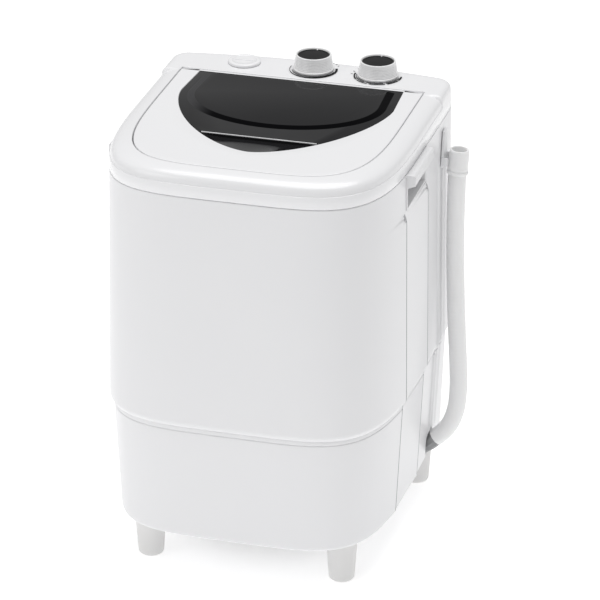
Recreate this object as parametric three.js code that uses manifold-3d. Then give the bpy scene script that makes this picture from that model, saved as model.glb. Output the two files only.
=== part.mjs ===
// A compact top load washing machine: a moulded upper housing on an inset base with four legs, a top
// frame with a control deck, a hinged lid with a smoked window, and the wash tub, pulsator and belt
// drive inside. Millimetres, +Z up, the front faces -Y, and the drain hose is on the +X side.
// The origin is on the floor, under the middle of the machine.
import * as THREE from 'three';
import { mergeVertices } from 'three/addons/utils/BufferGeometryUtils.js';
import Module from 'manifold-3d';

const wasm = await Module();
wasm.setup();

// ---------------------------------------------------------------- driving dimensions
const GAP = 0.35; // clearance between pieces that touch
const RUN = 0.3; // radial clearance round anything that turns
const BODY_WIDTH = 360; // across the upper housing, at its top
const FRONT = -194; // front of the upper housing, at its top
const REAR = 186; // flat rear wall of the upper housing
const LEG_HEIGHT = 60;
const BASE_HEIGHT = 154.5;
const HOUSING_HEIGHT = 299;
const FRAME_HEIGHT = 31.4; // top frame, from the housing's edge to the lid's top
const WALL = 2.6; // moulded walls
const DRAFT = 4.2; // how far the housing widens from its top to its lower edge
const HOUSING_TUCK = 2.8; // how far its lower edge curves back in
const BASE_TAPER = 7; // how far the base narrows to its lower edge
const FRONT_POWER = 4.4; // roundness of the plan's front corners
const FRONT_DEPTH = 264.5; // length of the plan's curved front part
const REAR_CORNER = 24;
const DECK_BOW = 12.2; // how far the deck's rear edge bows out
const LIP = 9; // lips that locate one moulding in the next
const LID_INSET = 25.1; // from the body's side to the lid's parting line
const DECK_DEPTH = 58.4; // control deck, from the rear wall to its front wall
const LID_GAP = 1.2; // parting gap round the lid
const HINGE_GAP = 0.6; // between the lid's round rear edge and the deck
const HINGE_RADIUS = 6.4;
const HINGE_PIN_RADIUS = 3;
const LID_PLATE = 6.3;
const LID_SKIRT = 14.6;
const SEAT_WIDTH = 8;
const SEAT_THICK = 2.8;
const WINDOW_SIDE = 20.7; // from the lid's side to the window's widest point
const WINDOW_CENTRE = 57; // widest line of the window
const WINDOW_AHEAD = 55.7; // from the lid's front to the window's
const WINDOW_BEHIND = 4.1; // from the deck's front wall to the window's rear edge
const WINDOW_POWER = 1.62;
const WINDOW_TAPER = 3.7; // how much narrower its rear corners are
const WINDOW_THICK = 3;
const WINDOW_LEDGE = 5;
const PLATEAU_INSET = 17; // raised middle of the window
const PLATEAU_RISE = 1.8;
const SCOOP_LINE = -67; // rear edge of the finger scoop
const SCOOP_DEPTH = 6;
const DECK_ROW_AHEAD = 24; // centre line of the knobs and the inlet cap, from the rear wall
const CAP_X = -84;
const TIMER_X = 5;
const SELECTOR_X = 87;
const KNOB_BASE_RADIUS = 25.5;
const KNOB_TOP_RADIUS = 22;
const KNOB_HEIGHT = 20;
const KNOB_CAP_RADIUS = 19.7;
const KNOB_CAP_THICK = 3;
const KNOB_SHAFT_RADIUS = 3;
const DIAL_RADIUS = 30;
const DIAL_THICK = 0.8;
const CAP_RADIUS = 20.5;
const CAP_HEIGHT = 4;
const INLET_RADIUS = 12.5;
const INLET_WALL = 2;
const STEP_RISE = 2.2; // raised steps on the side walls
const STEP_FRONT = -140;
const STEP_ONE = -62;
const STEP_TWO = 38;
const STEP_DROP = 39.5; // top of the steps, below the rim
const CHANNEL_AHEAD = 87; // vertical channel beside the rear column, from the rear wall
const CHANNEL_WIDTH = 8;
const CHANNEL_DEPTH = 1.6;
const FLUTE_AHEAD = 58;
const FLUTE_WIDTH = 3;
const HANDLE_FRONT = -59;
const HANDLE_REAR = 34;
const HANDLE_PROUD = 10; // outer edge of the grip, out from the body's side
const HANDLE_DEPTH = 26; // from the outer edge to the back of the finger pocket
const HANDLE_HEIGHT = 46;
const HANDLE_WALL = 3;
const GRIP_DROP = 13;
const GRIP_THICK = 4;
const LEG_TOP_RADIUS = 19.5;
const LEG_FOOT_RADIUS = 16;
const LEG_ROUND = 5;
const SPIGOT_RADIUS = 10;
const SPIGOT_LENGTH = 38;
const BOSS_WALL = 3;
const FLOOR_THICK = 3;
const FRONT_LEG_INSET = [58, 67]; // leg axes, from the body's side and from its front
const REAR_LEG_INSET = [32, 36]; // and from its side and rear
const TUB_BACK = 173; // axis of the tub and the pulsator, from the body's front
const TUB_SIDE_ROOM = 42; // from the body's side to the inside of the tub's mouth
const TUB_FRONT_ROOM = 35; // and from the body's front
const TUB_FLOOR_RISE = 25.5; // inside floor at the foot of the wall, above the seam
const TUB_SUMP = 22; // drain stub, below the floor
const TUB_WALL = 2.6;
const TUB_SIDES = 28;
const TUB_CONE = 4; // fall of the floor towards the middle
const PULSATOR_RADIUS = 82;
const PULSATOR_RIM = 5;
const PULSATOR_RISE = 18;
const FINS = 4;
const FIN_HEIGHT = 14;
const SHAFT_RADIUS = 6;
const SEAL_RADIUS = 15;
const BEARING_RADIUS = 24;
const BEARING_FLANGE = 38;
const MOTOR_ROOM = 34; // from the motor plate's underside and the motor's height to the tub's floor
const PLATE_THICK = 3;
const PLATE_SIDE_ROOM = 52; // motor plate's edges, from the body's side, front and rear
const PLATE_FRONT_ROOM = 99;
const PLATE_REAR_ROOM = 46;
const POST_RADIUS = 9;
const BELT_DROP = 17; // middle of the belt, below the motor plate
const BELT_WIDTH = 8;
const BELT_THICK = 6;
const PULLEY_THICK = 14;
const DRIVEN_GROOVE = 54; // groove bottoms of the two pulleys
const MOTOR_GROOVE = 14;
const PULLEY_FLANGE = 6;
const MOTOR_OFFSET = [-72, 105]; // from the tub's axis
const MOTOR_RADIUS = 46;
const MOTOR_HEIGHT = 66;
const MOTOR_SHAFT_RADIUS = 5;
const CAPACITOR_OFFSET = [10, 137];
const CAPACITOR_RADIUS = 15;
const CAPACITOR_HEIGHT = 52;
const DRAIN_OFFSET = [88, 47];
const DRAIN_RADIUS = 11;
const VALVE_RADIUS = 17;
const PIPE_RADIUS = 11;
const PIPE_WALL = 2;
const OUTLET_CLEARANCE = 4;
const OUTLET_BORE = 10 * WALL; // straight bore through the slanted wall, for the outlet pipe
const PIPE_PITCH = 12; // length of one straight facet along the outlet pipe
const PIPE_BEND_ROOM = 4.65; // from the bore's inner end to the pipe's last bend
const OUTLET_PROUD = 3; // mouth of the outlet pipe: out from the body's side,
const OUTLET_AHEAD = 82; // ahead of the rear wall
const OUTLET_RISE = 28; // and above the base's lower edge
const HOSE_RADIUS = 12;
const CUFF_RADIUS = 13.6;
const CUFF_LENGTH = 32;
const HANGER_DROP = 57;
const HANGER_HEIGHT = 44;
const HANGER_THICK = 2.6;
const PANEL_INSET = 68; // rear panel's edges, from the body's side, the seam and the rim
const PANEL_RISE = 35.5;
const PANEL_DROP = 49.5;
const PANEL_THICK = 2.4;
const PANEL_LAP = 12;
const SCREW_RADIUS = 4;
const SCREW_HEAD = 2.2;
const VENTS = 6; // slots in the rear panel
const VENT_PITCH = 10;
const VENT_HEIGHT = 4;
const VENT_HALF = 50;
const VENT_RISE = 24; // lowest slot, above the panel's lower edge
const GLAND_INSET = 68; // cord gland, from the body's side
const GLAND_RISE = 36; // and above the base's lower edge
const GLAND_RADIUS = 9;
const GLAND_REACH = 9;

// ---------------------------------------------------------------- levels and places worked out from them
const SEAM = LEG_HEIGHT + BASE_HEIGHT;
const RIM = SEAM + HOUSING_HEIGHT;
const TOP = RIM + FRAME_HEIGHT;
const HALF = BODY_WIDTH / 2;
const PLAN_CENTRE = FRONT + FRONT_DEPTH;
const LID_REAR = REAR - DECK_DEPTH;
const DECK_ROW = REAR - DECK_ROW_AHEAD;
const HINGE_Y = LID_REAR - HINGE_GAP - HINGE_RADIUS;
const HINGE_Z = TOP - HINGE_RADIUS;
const SEAT_TOP = TOP - LID_SKIRT - GAP;
const TUB_TOP = SEAT_TOP - SEAT_THICK - GAP;
const LID_HALF = HALF - LID_INSET - LID_GAP;
const LID_FRONT = FRONT + LID_INSET + LID_GAP;
const WINDOW_HALF = LID_HALF - WINDOW_SIDE;
const WINDOW_FRONT = LID_FRONT + WINDOW_AHEAD;
const WINDOW_REAR = LID_REAR - WINDOW_BEHIND;
const STEP_TOP = RIM - STEP_DROP;
const CHANNEL_Y = REAR - CHANNEL_AHEAD;
const FLUTE_Y = REAR - FLUTE_AHEAD;
const HANDLE_REACH = HALF + HANDLE_PROUD;
const FRONT_LEG = [HALF - FRONT_LEG_INSET[0], FRONT + FRONT_LEG_INSET[1]];
const REAR_LEG = [HALF - REAR_LEG_INSET[0], REAR - REAR_LEG_INSET[1]];
const TUB_Y = FRONT + TUB_BACK;
const TUB_RADIUS = Math.min(HALF - TUB_SIDE_ROOM, TUB_BACK - TUB_FRONT_ROOM);
const TUB_FLOOR = SEAM + TUB_FLOOR_RISE;
const PLATE_Z = TUB_FLOOR - MOTOR_HEIGHT - MOTOR_ROOM;
const BELT_Z = PLATE_Z - BELT_DROP;
const PLATE_X = HALF - PLATE_SIDE_ROOM;
const PLATE_FRONT = FRONT + PLATE_FRONT_ROOM;
const PLATE_REAR = REAR - PLATE_REAR_ROOM;
const fromTub = ([x, y]) => [x, TUB_Y + y];
const MOTOR_AXIS = fromTub(MOTOR_OFFSET);
const CAPACITOR_AXIS = fromTub(CAPACITOR_OFFSET);
const DRAIN_AXIS = fromTub(DRAIN_OFFSET);
const OUTLET_MOUTH = new THREE.Vector3(HALF + OUTLET_PROUD, REAR - OUTLET_AHEAD, LEG_HEIGHT + OUTLET_RISE);
const PANEL_HALF = HALF - PANEL_INSET;
const PANEL_LOW = SEAM + PANEL_RISE;
const PANEL_HIGH = RIM - PANEL_DROP;
const GLAND_PLACE = [-HALF + GLAND_INSET, LEG_HEIGHT + GLAND_RISE];

// The hose leaves the outlet pipe's mouth, bends up and hangs from the cuff.
const HOSE_POINTS = [
  [183, 104, 88],
  [187.6, 104.2, 92],
  [192, 104.4, 96.3],
  [196.1, 104.7, 101.4],
  [199.8, 105, 107.2],
  [203, 105.4, 113.8],
  [205.6, 105.9, 121.2],
  [207.7, 106.4, 129.6],
  [209.1, 106.9, 139],
  [209.9, 107.5, 150],
  [210, 108.2, 163],
  [209.5, 109, 178],
  [208.4, 110, 197],
  [206.8, 111.2, 220],
  [204.8, 112.7, 248],
  [202.8, 114.2, 280],
  [201.1, 115.7, 315],
  [199.9, 117, 350],
  [199.3, 118, 385],
  [199.3, 118.7, 420],
  [199.8, 119.2, 445],
];
const CUFF_TILT = new THREE.Vector3(0.06, 0.04, 1).normalize();

// ---------------------------------------------------------------- materials
const paint = (color, roughness, metalness = 0) =>
  () => new THREE.MeshStandardMaterial({ color, roughness, metalness });
const finishes = {
  white: paint(0xe9e9ea, 0.3),
  handle: paint(0xe2e2e4, 0.35),
  leg: paint(0xdfdedd, 0.45),
  smoked: paint(0x232324, 0.08),
  knob: paint(0xf0f0f0, 0.25),
  black: paint(0x0d0d0e, 0.3),
  tub: paint(0xdfe3e6, 0.4),
  pulsator: paint(0xcfd6dc, 0.4),
  steel: paint(0xb5b7b9, 0.35, 1),
  zinc: paint(0x9ea2a5, 0.5, 1),
  rubber: paint(0x1c1c1d, 0.8),
  motor: paint(0x3c4145, 0.5, 0.6),
  pulley: paint(0xa8a8a8, 0.45, 0.9),
  grey: paint(0x8b8e91, 0.6),
  hose: paint(0xdedddb, 0.45),
};

// ---------------------------------------------------------------- solids
function toSolid(geometry) {
  const plain = geometry.index ? geometry : geometry.clone();
  for (const name of Object.keys(plain.attributes)) {
    if (name !== 'position') plain.deleteAttribute(name);
  }
  const merged = mergeVertices(plain, 1e-4);
  const mesh = new wasm.Mesh({
    numProp: 3,
    vertProperties: new Float32Array(merged.attributes.position.array),
    triVerts: new Uint32Array(merged.index.array),
  });
  return new wasm.Manifold(mesh);
}

function toGeometry(solid) {
  const mesh = solid.getMesh();
  const geometry = new THREE.BufferGeometry();
  const positions = new Float32Array(mesh.vertProperties);
  geometry.setAttribute('position', new THREE.BufferAttribute(positions, 3));
  geometry.setIndex(Array.from(mesh.triVerts));
  return geometry;
}

const join = (first, ...rest) => rest.reduce((all, one) => all.add(one), first);
const cut = (first, ...rest) => rest.reduce((all, one) => all.subtract(one), first);

function box(x0, x1, y0, y1, z0, z1) {
  const geometry = new THREE.BoxGeometry(x1 - x0, y1 - y0, z1 - z0);
  geometry.translate((x0 + x1) / 2, (y0 + y1) / 2, (z0 + z1) / 2);
  return toSolid(geometry);
}

// A cone or cylinder between two points.
function rod(from, to, radius, sides = 16, endRadius = radius) {
  const a = new THREE.Vector3(...from);
  const b = new THREE.Vector3(...to);
  const axis = b.clone().sub(a);
  const geometry = new THREE.CylinderGeometry(endRadius, radius, axis.length(), sides);
  const up = new THREE.Vector3(0, 1, 0);
  geometry.applyQuaternion(new THREE.Quaternion().setFromUnitVectors(up, axis.clone().normalize()));
  geometry.translate(...a.add(b).multiplyScalar(0.5).toArray());
  return toSolid(geometry);
}

const upright = (x, y, z0, z1, radius, sides, endRadius) =>
  rod([x, y, z0], [x, y, z1], radius, sides, endRadius);

function prism(outline, z0, z1) {
  const geometry = new THREE.ExtrudeGeometry(new THREE.Shape(outline), {
    depth: z1 - z0,
    bevelEnabled: false,
  });
  geometry.translate(0, 0, z0);
  return toSolid(geometry);
}

// A profile of [radius, height] pairs turned about an upright axis at (x, y).
function turned(profile, x, y, sides) {
  const points = profile.map(([radius, height]) => new THREE.Vector2(radius, height));
  const geometry = new THREE.LatheGeometry(points, sides);
  geometry.rotateX(Math.PI / 2);
  geometry.translate(x, y, 0);
  return toSolid(geometry);
}

// A solid through level outlines that have the same number of points.
function loft(levels) {
  const count = levels[0].outline.length;
  const positions = [];
  const index = [];
  for (const { z, outline } of levels) {
    for (const p of outline) positions.push(p.x, p.y, z);
  }
  for (let k = 0; k < levels.length - 1; k++) {
    for (let i = 0; i < count; i++) {
      const a = k * count + i;
      const b = k * count + ((i + 1) % count);
      index.push(a, b, b + count, a, b + count, a + count);
    }
  }
  const last = (levels.length - 1) * count;
  for (const [a, b, c] of THREE.ShapeUtils.triangulateShape(levels[0].outline, [])) {
    index.push(a, c, b);
  }
  for (const [a, b, c] of THREE.ShapeUtils.triangulateShape(levels.at(-1).outline, [])) {
    index.push(last + a, last + b, last + c);
  }
  const geometry = new THREE.BufferGeometry();
  geometry.setAttribute('position', new THREE.Float32BufferAttribute(positions, 3));
  geometry.setIndex(index);
  return toSolid(geometry);
}

// A round section swept along a smooth line through the points.
function sweep(points, radius, sides, steps) {
  const curve = new THREE.CatmullRomCurve3(points, false, 'centripetal');
  const section = new THREE.Shape();
  for (let i = 0; i < sides; i++) {
    const angle = (2 * Math.PI * i) / sides;
    const place = [radius * Math.cos(angle), radius * Math.sin(angle)];
    if (i) section.lineTo(...place);
    else section.moveTo(...place);
  }
  section.closePath();
  return new THREE.ExtrudeGeometry(section, { steps, extrudePath: curve, bevelEnabled: false });
}

const vectors = (points) => points.map((p) => new THREE.Vector3(...p));

// ---------------------------------------------------------------- plan outlines
// The body's side wall at a given depth, as a distance from the middle.
function wallAt(y, inset) {
  const a = HALF - inset;
  if (y > PLAN_CENTRE) return a;
  const part = (PLAN_CENTRE - y) / (FRONT_DEPTH - inset);
  return a * (1 - part ** FRONT_POWER) ** (1 / FRONT_POWER);
}

function frontCurve(inset, steps = 20) {
  const a = HALF - inset;
  const b = FRONT_DEPTH - inset;
  const points = [];
  for (let k = 0; k <= steps; k++) {
    const angle = (Math.PI * k) / steps;
    const c = Math.cos(angle);
    const x = -Math.sign(c) * a * Math.abs(c) ** (2 / FRONT_POWER);
    const y = PLAN_CENTRE - b * Math.abs(Math.sin(angle)) ** (2 / FRONT_POWER);
    points.push(new THREE.Vector2(x, y));
  }
  return points;
}

// The plan from its curved front back to a straight line.
const frontOutline = (inset, rear) => [
  new THREE.Vector2(HALF - inset, rear),
  new THREE.Vector2(-HALF + inset, rear),
  ...frontCurve(inset),
];

// The whole plan, with round rear corners and a rear edge that may bow out.
function planOutline(inset, rear, bow = 0) {
  const a = HALF - inset;
  const corner = Math.max(REAR_CORNER - inset, 4);
  const points = [];
  const steps = 3;
  for (let k = 0; k <= steps; k++) {
    const angle = (Math.PI / 2) * (k / steps);
    points.push(
      new THREE.Vector2(a - corner + corner * Math.cos(angle), rear - corner + corner * Math.sin(angle))
    );
  }
  const half = a - corner;
  const spans = 4;
  for (let k = 1; k < spans; k++) {
    const x = half * (1 - (2 * k) / spans);
    points.push(new THREE.Vector2(x, rear + bow * (1 - (x / half) ** 2)));
  }
  for (let k = 0; k <= steps; k++) {
    const angle = (Math.PI / 2) * (1 + k / steps);
    points.push(
      new THREE.Vector2(-a + corner + corner * Math.cos(angle), rear - corner + corner * Math.sin(angle))
    );
  }
  return points.concat(frontCurve(inset));
}

// ---------------------------------------------------------------- the moulded body
// Raised wedge on a side wall: flush at its front and proud at its rear edge.
function sideStep(side, front, rear, levels) {
  const samples = 3;
  return loft(
    levels.map(({ z, inset }) => {
      const outer = [];
      const inner = [];
      for (let k = 0; k <= samples; k++) {
        const y = front + ((rear - front) * k) / samples;
        const wall = wallAt(y, inset);
        outer.push(new THREE.Vector2(side * (wall + (STEP_RISE * k) / samples - (k ? 0 : 0.4)), y));
        inner.push(new THREE.Vector2(side * (wall - WALL / 2), y));
      }
      const ring = outer.concat(inner.reverse());
      return { z, outline: side > 0 ? ring : ring.reverse() };
    })
  );
}

// Grooves that set the rear column off from the side wall.
function columnGrooves(z0, z1, inset) {
  const wall = HALF - inset;
  const grooves = [];
  for (const side of [-1, 1]) {
    for (const [y, width, depth] of [
      [CHANNEL_Y, CHANNEL_WIDTH, CHANNEL_DEPTH],
      [FLUTE_Y, FLUTE_WIDTH, CHANNEL_DEPTH / 2],
    ]) {
      const outline = [
        new THREE.Vector2(side * (wall - depth), y),
        new THREE.Vector2(side * (wall + DRAFT), y - width),
        new THREE.Vector2(side * (wall + DRAFT), y + width),
      ];
      grooves.push(prism(side > 0 ? outline : outline.reverse(), z0, z1));
    }
  }
  return grooves;
}

function upperHousing() {
  const low = SEAM + GAP;
  const high = RIM - GAP;
  const round = low + 7;
  const outer = loft([
    { z: low, outline: planOutline(-DRAFT + HOUSING_TUCK, REAR) },
    { z: low + 2.5, outline: planOutline(-DRAFT + 0.8, REAR) },
    { z: round, outline: planOutline(-DRAFT, REAR) },
    { z: high, outline: planOutline(0, REAR) },
  ]);
  const inner = loft([
    { z: low - 1, outline: planOutline(WALL - DRAFT + HOUSING_TUCK, REAR - WALL) },
    { z: round, outline: planOutline(WALL - DRAFT + HOUSING_TUCK, REAR - WALL) },
    { z: high + 1, outline: planOutline(WALL, REAR - WALL) },
  ]);
  let body = outer;
  const slope = (z) => (-DRAFT * (high - z)) / (high - round);
  for (const side of [-1, 1]) {
    const levels = [
      { z: round, inset: slope(round) },
      { z: STEP_TOP, inset: slope(STEP_TOP) },
    ];
    body = join(body, sideStep(side, STEP_FRONT, STEP_ONE, levels));
    body = join(body, sideStep(side, STEP_ONE, STEP_TWO, levels));
  }
  body = cut(body, inner, ...columnGrooves(low - 1, RIM - 50, 0));
  const opening = PANEL_HALF - PANEL_LAP;
  body = cut(
    body,
    box(-opening, opening, REAR - WALL * 2, REAR + 1, PANEL_LOW + PANEL_LAP, PANEL_HIGH - PANEL_LAP)
  );
  for (const side of [-1, 1]) {
    const edges = [side * (HALF - HANDLE_DEPTH), side * (HALF + DRAFT * 3)].sort((p, q) => p - q);
    const low = RIM - HANDLE_HEIGHT - GAP;
    body = cut(body, box(...edges, HANDLE_FRONT - GAP, HANDLE_REAR + GAP, low, RIM + 1));
  }
  for (const [x, z] of panelScrewPlaces()) {
    body = cut(body, rod([x, REAR - WALL * 2, z], [x, REAR + 1, z], SCREW_RADIUS / 2 + GAP, 8));
  }
  return body;
}

function baseShell() {
  const low = LEG_HEIGHT + GAP;
  const high = SEAM - GAP;
  const round = low + 5;
  const rear = REAR - 3;
  const insetAt = (z) => 0.2 + (BASE_TAPER * (high - z)) / (high - low);
  const outer = loft([
    { z: low, outline: planOutline(insetAt(low) + 4, rear - 4) },
    { z: low + 1.6, outline: planOutline(insetAt(low) + 1.2, rear - 1.2) },
    { z: round, outline: planOutline(insetAt(round), rear) },
    { z: high, outline: planOutline(insetAt(high), rear) },
  ]);
  const inner = loft([
    { z: low + FLOOR_THICK, outline: planOutline(insetAt(low) + WALL + 2, rear - WALL - 2) },
    { z: round + 3, outline: planOutline(insetAt(round) + WALL, rear - WALL) },
    { z: high + 1, outline: planOutline(insetAt(high) + WALL, rear - WALL) },
  ]);
  let body = outer;
  for (const side of [-1, 1]) {
    const levels = [
      { z: round, inset: insetAt(round) },
      { z: high, inset: insetAt(high) },
    ];
    body = join(body, sideStep(side, STEP_FRONT, STEP_ONE, levels));
    body = join(body, sideStep(side, STEP_ONE, STEP_TWO, levels));
  }
  body = cut(body, inner, ...columnGrooves(low - 1, high + 1, BASE_TAPER / 2));
  // the lip that the upper housing drops over
  const lipOut = WALL + HOUSING_TUCK - DRAFT + GAP;
  const lip = cut(
    loft([
      { z: high - 6, outline: planOutline(insetAt(high) + 1, rear - 1) },
      { z: high - 1, outline: planOutline(Math.max(lipOut, 0.8), REAR - WALL - GAP) },
      { z: high + LIP, outline: planOutline(Math.max(lipOut, 0.8) + 0.4, REAR - WALL - GAP) },
    ]),
    loft([
      { z: high - 7, outline: planOutline(insetAt(high) + WALL, rear - WALL - GAP) },
      { z: high + LIP + 1, outline: planOutline(insetAt(high) + WALL + 1.6, rear - WALL - GAP) },
    ])
  );
  body = join(body, lip);
  // bosses for the legs and posts for the motor plate
  const floorTop = low + FLOOR_THICK;
  for (const [x, y] of legPlaces()) {
    body = join(body, upright(x, y, floorTop - 1, low + SPIGOT_LENGTH, SPIGOT_RADIUS + BOSS_WALL, 10));
  }
  for (const [x, y] of postPlaces()) {
    body = join(body, upright(x, y, floorTop - 1, PLATE_Z - GAP, POST_RADIUS, 8));
  }
  for (const [x, y] of legPlaces()) {
    body = cut(body, upright(x, y, low - 1, low + SPIGOT_LENGTH + 2, SPIGOT_RADIUS + 2 * GAP, 14));
  }
  const opening = PLATE_X - 36;
  body = cut(body, box(-opening, opening, PLATE_FRONT + 15, PLATE_REAR - 25, low - 1, floorTop + 1));
  const [from, to] = outletAxis();
  body = cut(body, rod(from, to, PIPE_RADIUS + OUTLET_CLEARANCE, 12));
  const [gx, gz] = GLAND_PLACE;
  body = cut(body, rod([gx, rear - 8, gz], [gx, rear + 4, gz], GLAND_RADIUS * 0.6 + GAP, 12));
  return body;
}

const legPlaces = () => [
  [-FRONT_LEG[0], FRONT_LEG[1]],
  [FRONT_LEG[0], FRONT_LEG[1]],
  [-REAR_LEG[0], REAR_LEG[1]],
  [REAR_LEG[0], REAR_LEG[1]],
];

const postPlaces = () => {
  const inset = POST_RADIUS + 1;
  return [
    [-PLATE_X + inset, PLATE_FRONT + inset],
    [PLATE_X - inset, PLATE_FRONT + inset],
    [-PLATE_X + inset, PLATE_REAR - inset],
    [PLATE_X - inset, PLATE_REAR - inset],
  ];
};

const legProfile = () => [
  [0, 0],
  [LEG_FOOT_RADIUS - LEG_ROUND, 0],
  [LEG_FOOT_RADIUS - 1.4, 1.4],
  [LEG_FOOT_RADIUS, LEG_ROUND],
  [LEG_TOP_RADIUS, LEG_HEIGHT],
  [SPIGOT_RADIUS, LEG_HEIGHT],
  [SPIGOT_RADIUS - 0.8, LEG_HEIGHT + SPIGOT_LENGTH - 4],
  [0, LEG_HEIGHT + SPIGOT_LENGTH - 4],
];

function topFrame() {
  const low = RIM + GAP;
  const rim = loft([
    { z: low, outline: planOutline(0, REAR) },
    { z: low + 16, outline: planOutline(0.6, REAR) },
    { z: TOP - 7.5, outline: planOutline(3, REAR - 3) },
    { z: TOP - 3.5, outline: planOutline(9, REAR - 9) },
    { z: TOP, outline: planOutline(LID_INSET - 1.6, REAR - LID_INSET) },
  ]);
  const deckFront = LID_REAR - 8;
  const deckHalf = box(-HALF * 2, HALF * 2, deckFront, REAR * 2, 0, TOP * 2);
  const deck = loft([
    { z: low, outline: planOutline(0, REAR, DECK_BOW) },
    { z: TOP - 7, outline: planOutline(0.8, REAR - 0.8, DECK_BOW) },
    { z: TOP - 2, outline: planOutline(3, REAR - 3, DECK_BOW) },
    { z: TOP, outline: planOutline(7, REAR - 7, DECK_BOW) },
  ]).intersect(deckHalf);
  const rimCavity = loft([
    { z: low - 1, outline: planOutline(WALL, REAR - WALL) },
    { z: low + 16, outline: planOutline(WALL + 0.6, REAR - WALL) },
    { z: TOP - 9.5, outline: planOutline(WALL + 3.5, REAR - WALL - 3.5) },
    { z: TOP - 6, outline: planOutline(WALL + 9.5, REAR - WALL - 9.5) },
  ]);
  const deckCavity = loft([
    { z: low - 1, outline: planOutline(WALL, REAR - WALL, DECK_BOW) },
    { z: TOP - WALL, outline: planOutline(WALL + 1.6, REAR - WALL - 1.6, DECK_BOW) },
  ]).intersect(box(-HALF * 2, HALF * 2, LID_REAR + WALL, REAR * 2, 0, TOP * 2));
  const wellInset = LID_INSET - WALL;
  const well = prism(frontOutline(wellInset, LID_REAR + WALL), SEAT_TOP - SEAT_THICK, TOP + 1);
  const underWell = prism(frontOutline(wellInset, LID_REAR), low - 2, SEAT_TOP - SEAT_THICK);
  let body = join(rim, deck);
  body = cut(body, cut(join(rimCavity, deckCavity), well), underWell);
  body = cut(
    body,
    prism(frontOutline(LID_INSET, LID_REAR), SEAT_TOP, TOP + 1),
    prism(frontOutline(LID_INSET + SEAT_WIDTH, LID_REAR - SEAT_WIDTH), low - 2, TOP)
  );
  // the lip that drops inside the housing, open where the handles sit
  const lipInside = prism(planOutline(WALL * 2, REAR - WALL * 2), low - LIP - 1, low + 6);
  const lip = cut(
    loft([
      { z: low - LIP, outline: planOutline(WALL + GAP, REAR - WALL - GAP) },
      { z: low - GAP, outline: planOutline(WALL + GAP, REAR - WALL - GAP) },
      { z: low + GAP, outline: planOutline(WALL - 0.8, REAR - WALL + 0.8) },
      { z: low + 3, outline: planOutline(WALL - 0.8, REAR - WALL + 0.8) },
    ]),
    lipInside
  );
  const overhang = prism(planOutline(1, REAR - 1, DECK_BOW), low, low + WALL).intersect(deckHalf);
  body = join(body, lip, cut(overhang, lipInside));
  for (const side of [-1, 1]) {
    const span = [side * (HALF - HANDLE_DEPTH), side * HALF].sort((p, q) => p - q);
    body = cut(body, box(...span, HANDLE_FRONT - 2, HANDLE_REAR + 2, low - LIP - 1, low));
  }
  // bosses that carry the hinge pins
  const inner = HALF - LID_INSET + 0.2;
  for (const side of [-1, 1]) {
    const span = [side * inner, side * (inner + 14)].sort((p, q) => p - q);
    const boss = box(...span, HINGE_Y - 7, LID_REAR + 1, HINGE_Z - 8, TOP - WALL);
    body = join(body, boss);
    const [start, end] = hingePinSpan(side, RUN);
    body = cut(body, rod([start, HINGE_Y, HINGE_Z], [end, HINGE_Y, HINGE_Z], HINGE_PIN_RADIUS + RUN, 14));
  }
  for (const x of [TIMER_X, SELECTOR_X]) {
    body = cut(body, upright(x, DECK_ROW, TOP - 6, TOP + 1, KNOB_SHAFT_RADIUS + 1.5, 14));
  }
  return cut(body, upright(CAP_X, DECK_ROW, TOP - 6, TOP + 1, INLET_RADIUS + GAP, 20));
}

const hingePinSpan = (side, extra) => {
  const inner = side * (HALF - LID_INSET - 12);
  return [inner - side * extra, side * (HALF - LID_INSET + 11 + extra)];
};

// ---------------------------------------------------------------- side handles
function sideHandle(side) {
  const top = RIM - GAP;
  const back = HANDLE_REACH - HANDLE_DEPTH;
  const low = RIM - HANDLE_HEIGHT;
  const face = HALF + 0.4;
  const section = [
    [back, top],
    [back, low],
    [face, low],
    [face, low + HANDLE_WALL],
    [back + HANDLE_WALL, low + HANDLE_WALL],
    [back + HANDLE_WALL, top - HANDLE_WALL - 1],
    [HANDLE_REACH - GRIP_THICK, top - HANDLE_WALL - 1],
    [HANDLE_REACH - GRIP_THICK, top - GRIP_DROP],
    [HANDLE_REACH, top - GRIP_DROP],
    [HANDLE_REACH, top - 2],
    [HANDLE_REACH - 2, top],
  ];
  const place = (outline, from, to) => {
    const geometry = new THREE.ExtrudeGeometry(
      new THREE.Shape(outline.map(([x, z]) => new THREE.Vector2(side * x, z))),
      { depth: to - from, bevelEnabled: false }
    );
    geometry.rotateX(Math.PI / 2);
    geometry.translate(0, to, 0);
    return toSolid(geometry);
  };
  const end = [
    [back, top],
    [back, low],
    [face, low],
    [face, top - GRIP_DROP - 4],
    [HANDLE_REACH, top - GRIP_DROP],
    [HANDLE_REACH, top - 2],
    [HANDLE_REACH - 2, top],
  ];
  return join(
    place(section, HANDLE_FRONT, HANDLE_REAR),
    place(end, HANDLE_FRONT, HANDLE_FRONT + HANDLE_WALL),
    place(end, HANDLE_REAR - HANDLE_WALL, HANDLE_REAR)
  );
}

// ---------------------------------------------------------------- lid
function windowOutline(offset, rear = WINDOW_REAR - offset) {
  const a = WINDOW_HALF - offset;
  const b = WINDOW_CENTRE - WINDOW_FRONT - offset;
  const steps = 18;
  const taper = WINDOW_TAPER;
  const points = [new THREE.Vector2(a - taper, rear), new THREE.Vector2(-a + taper, rear)];
  for (let k = 0; k <= steps; k++) {
    const angle = (Math.PI * k) / steps;
    const c = Math.cos(angle);
    const x = -Math.sign(c) * a * Math.abs(c) ** (2 / WINDOW_POWER);
    const y = WINDOW_CENTRE - b * Math.sin(angle) ** (2 / WINDOW_POWER);
    points.push(new THREE.Vector2(x, y));
  }
  return points;
}

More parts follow.
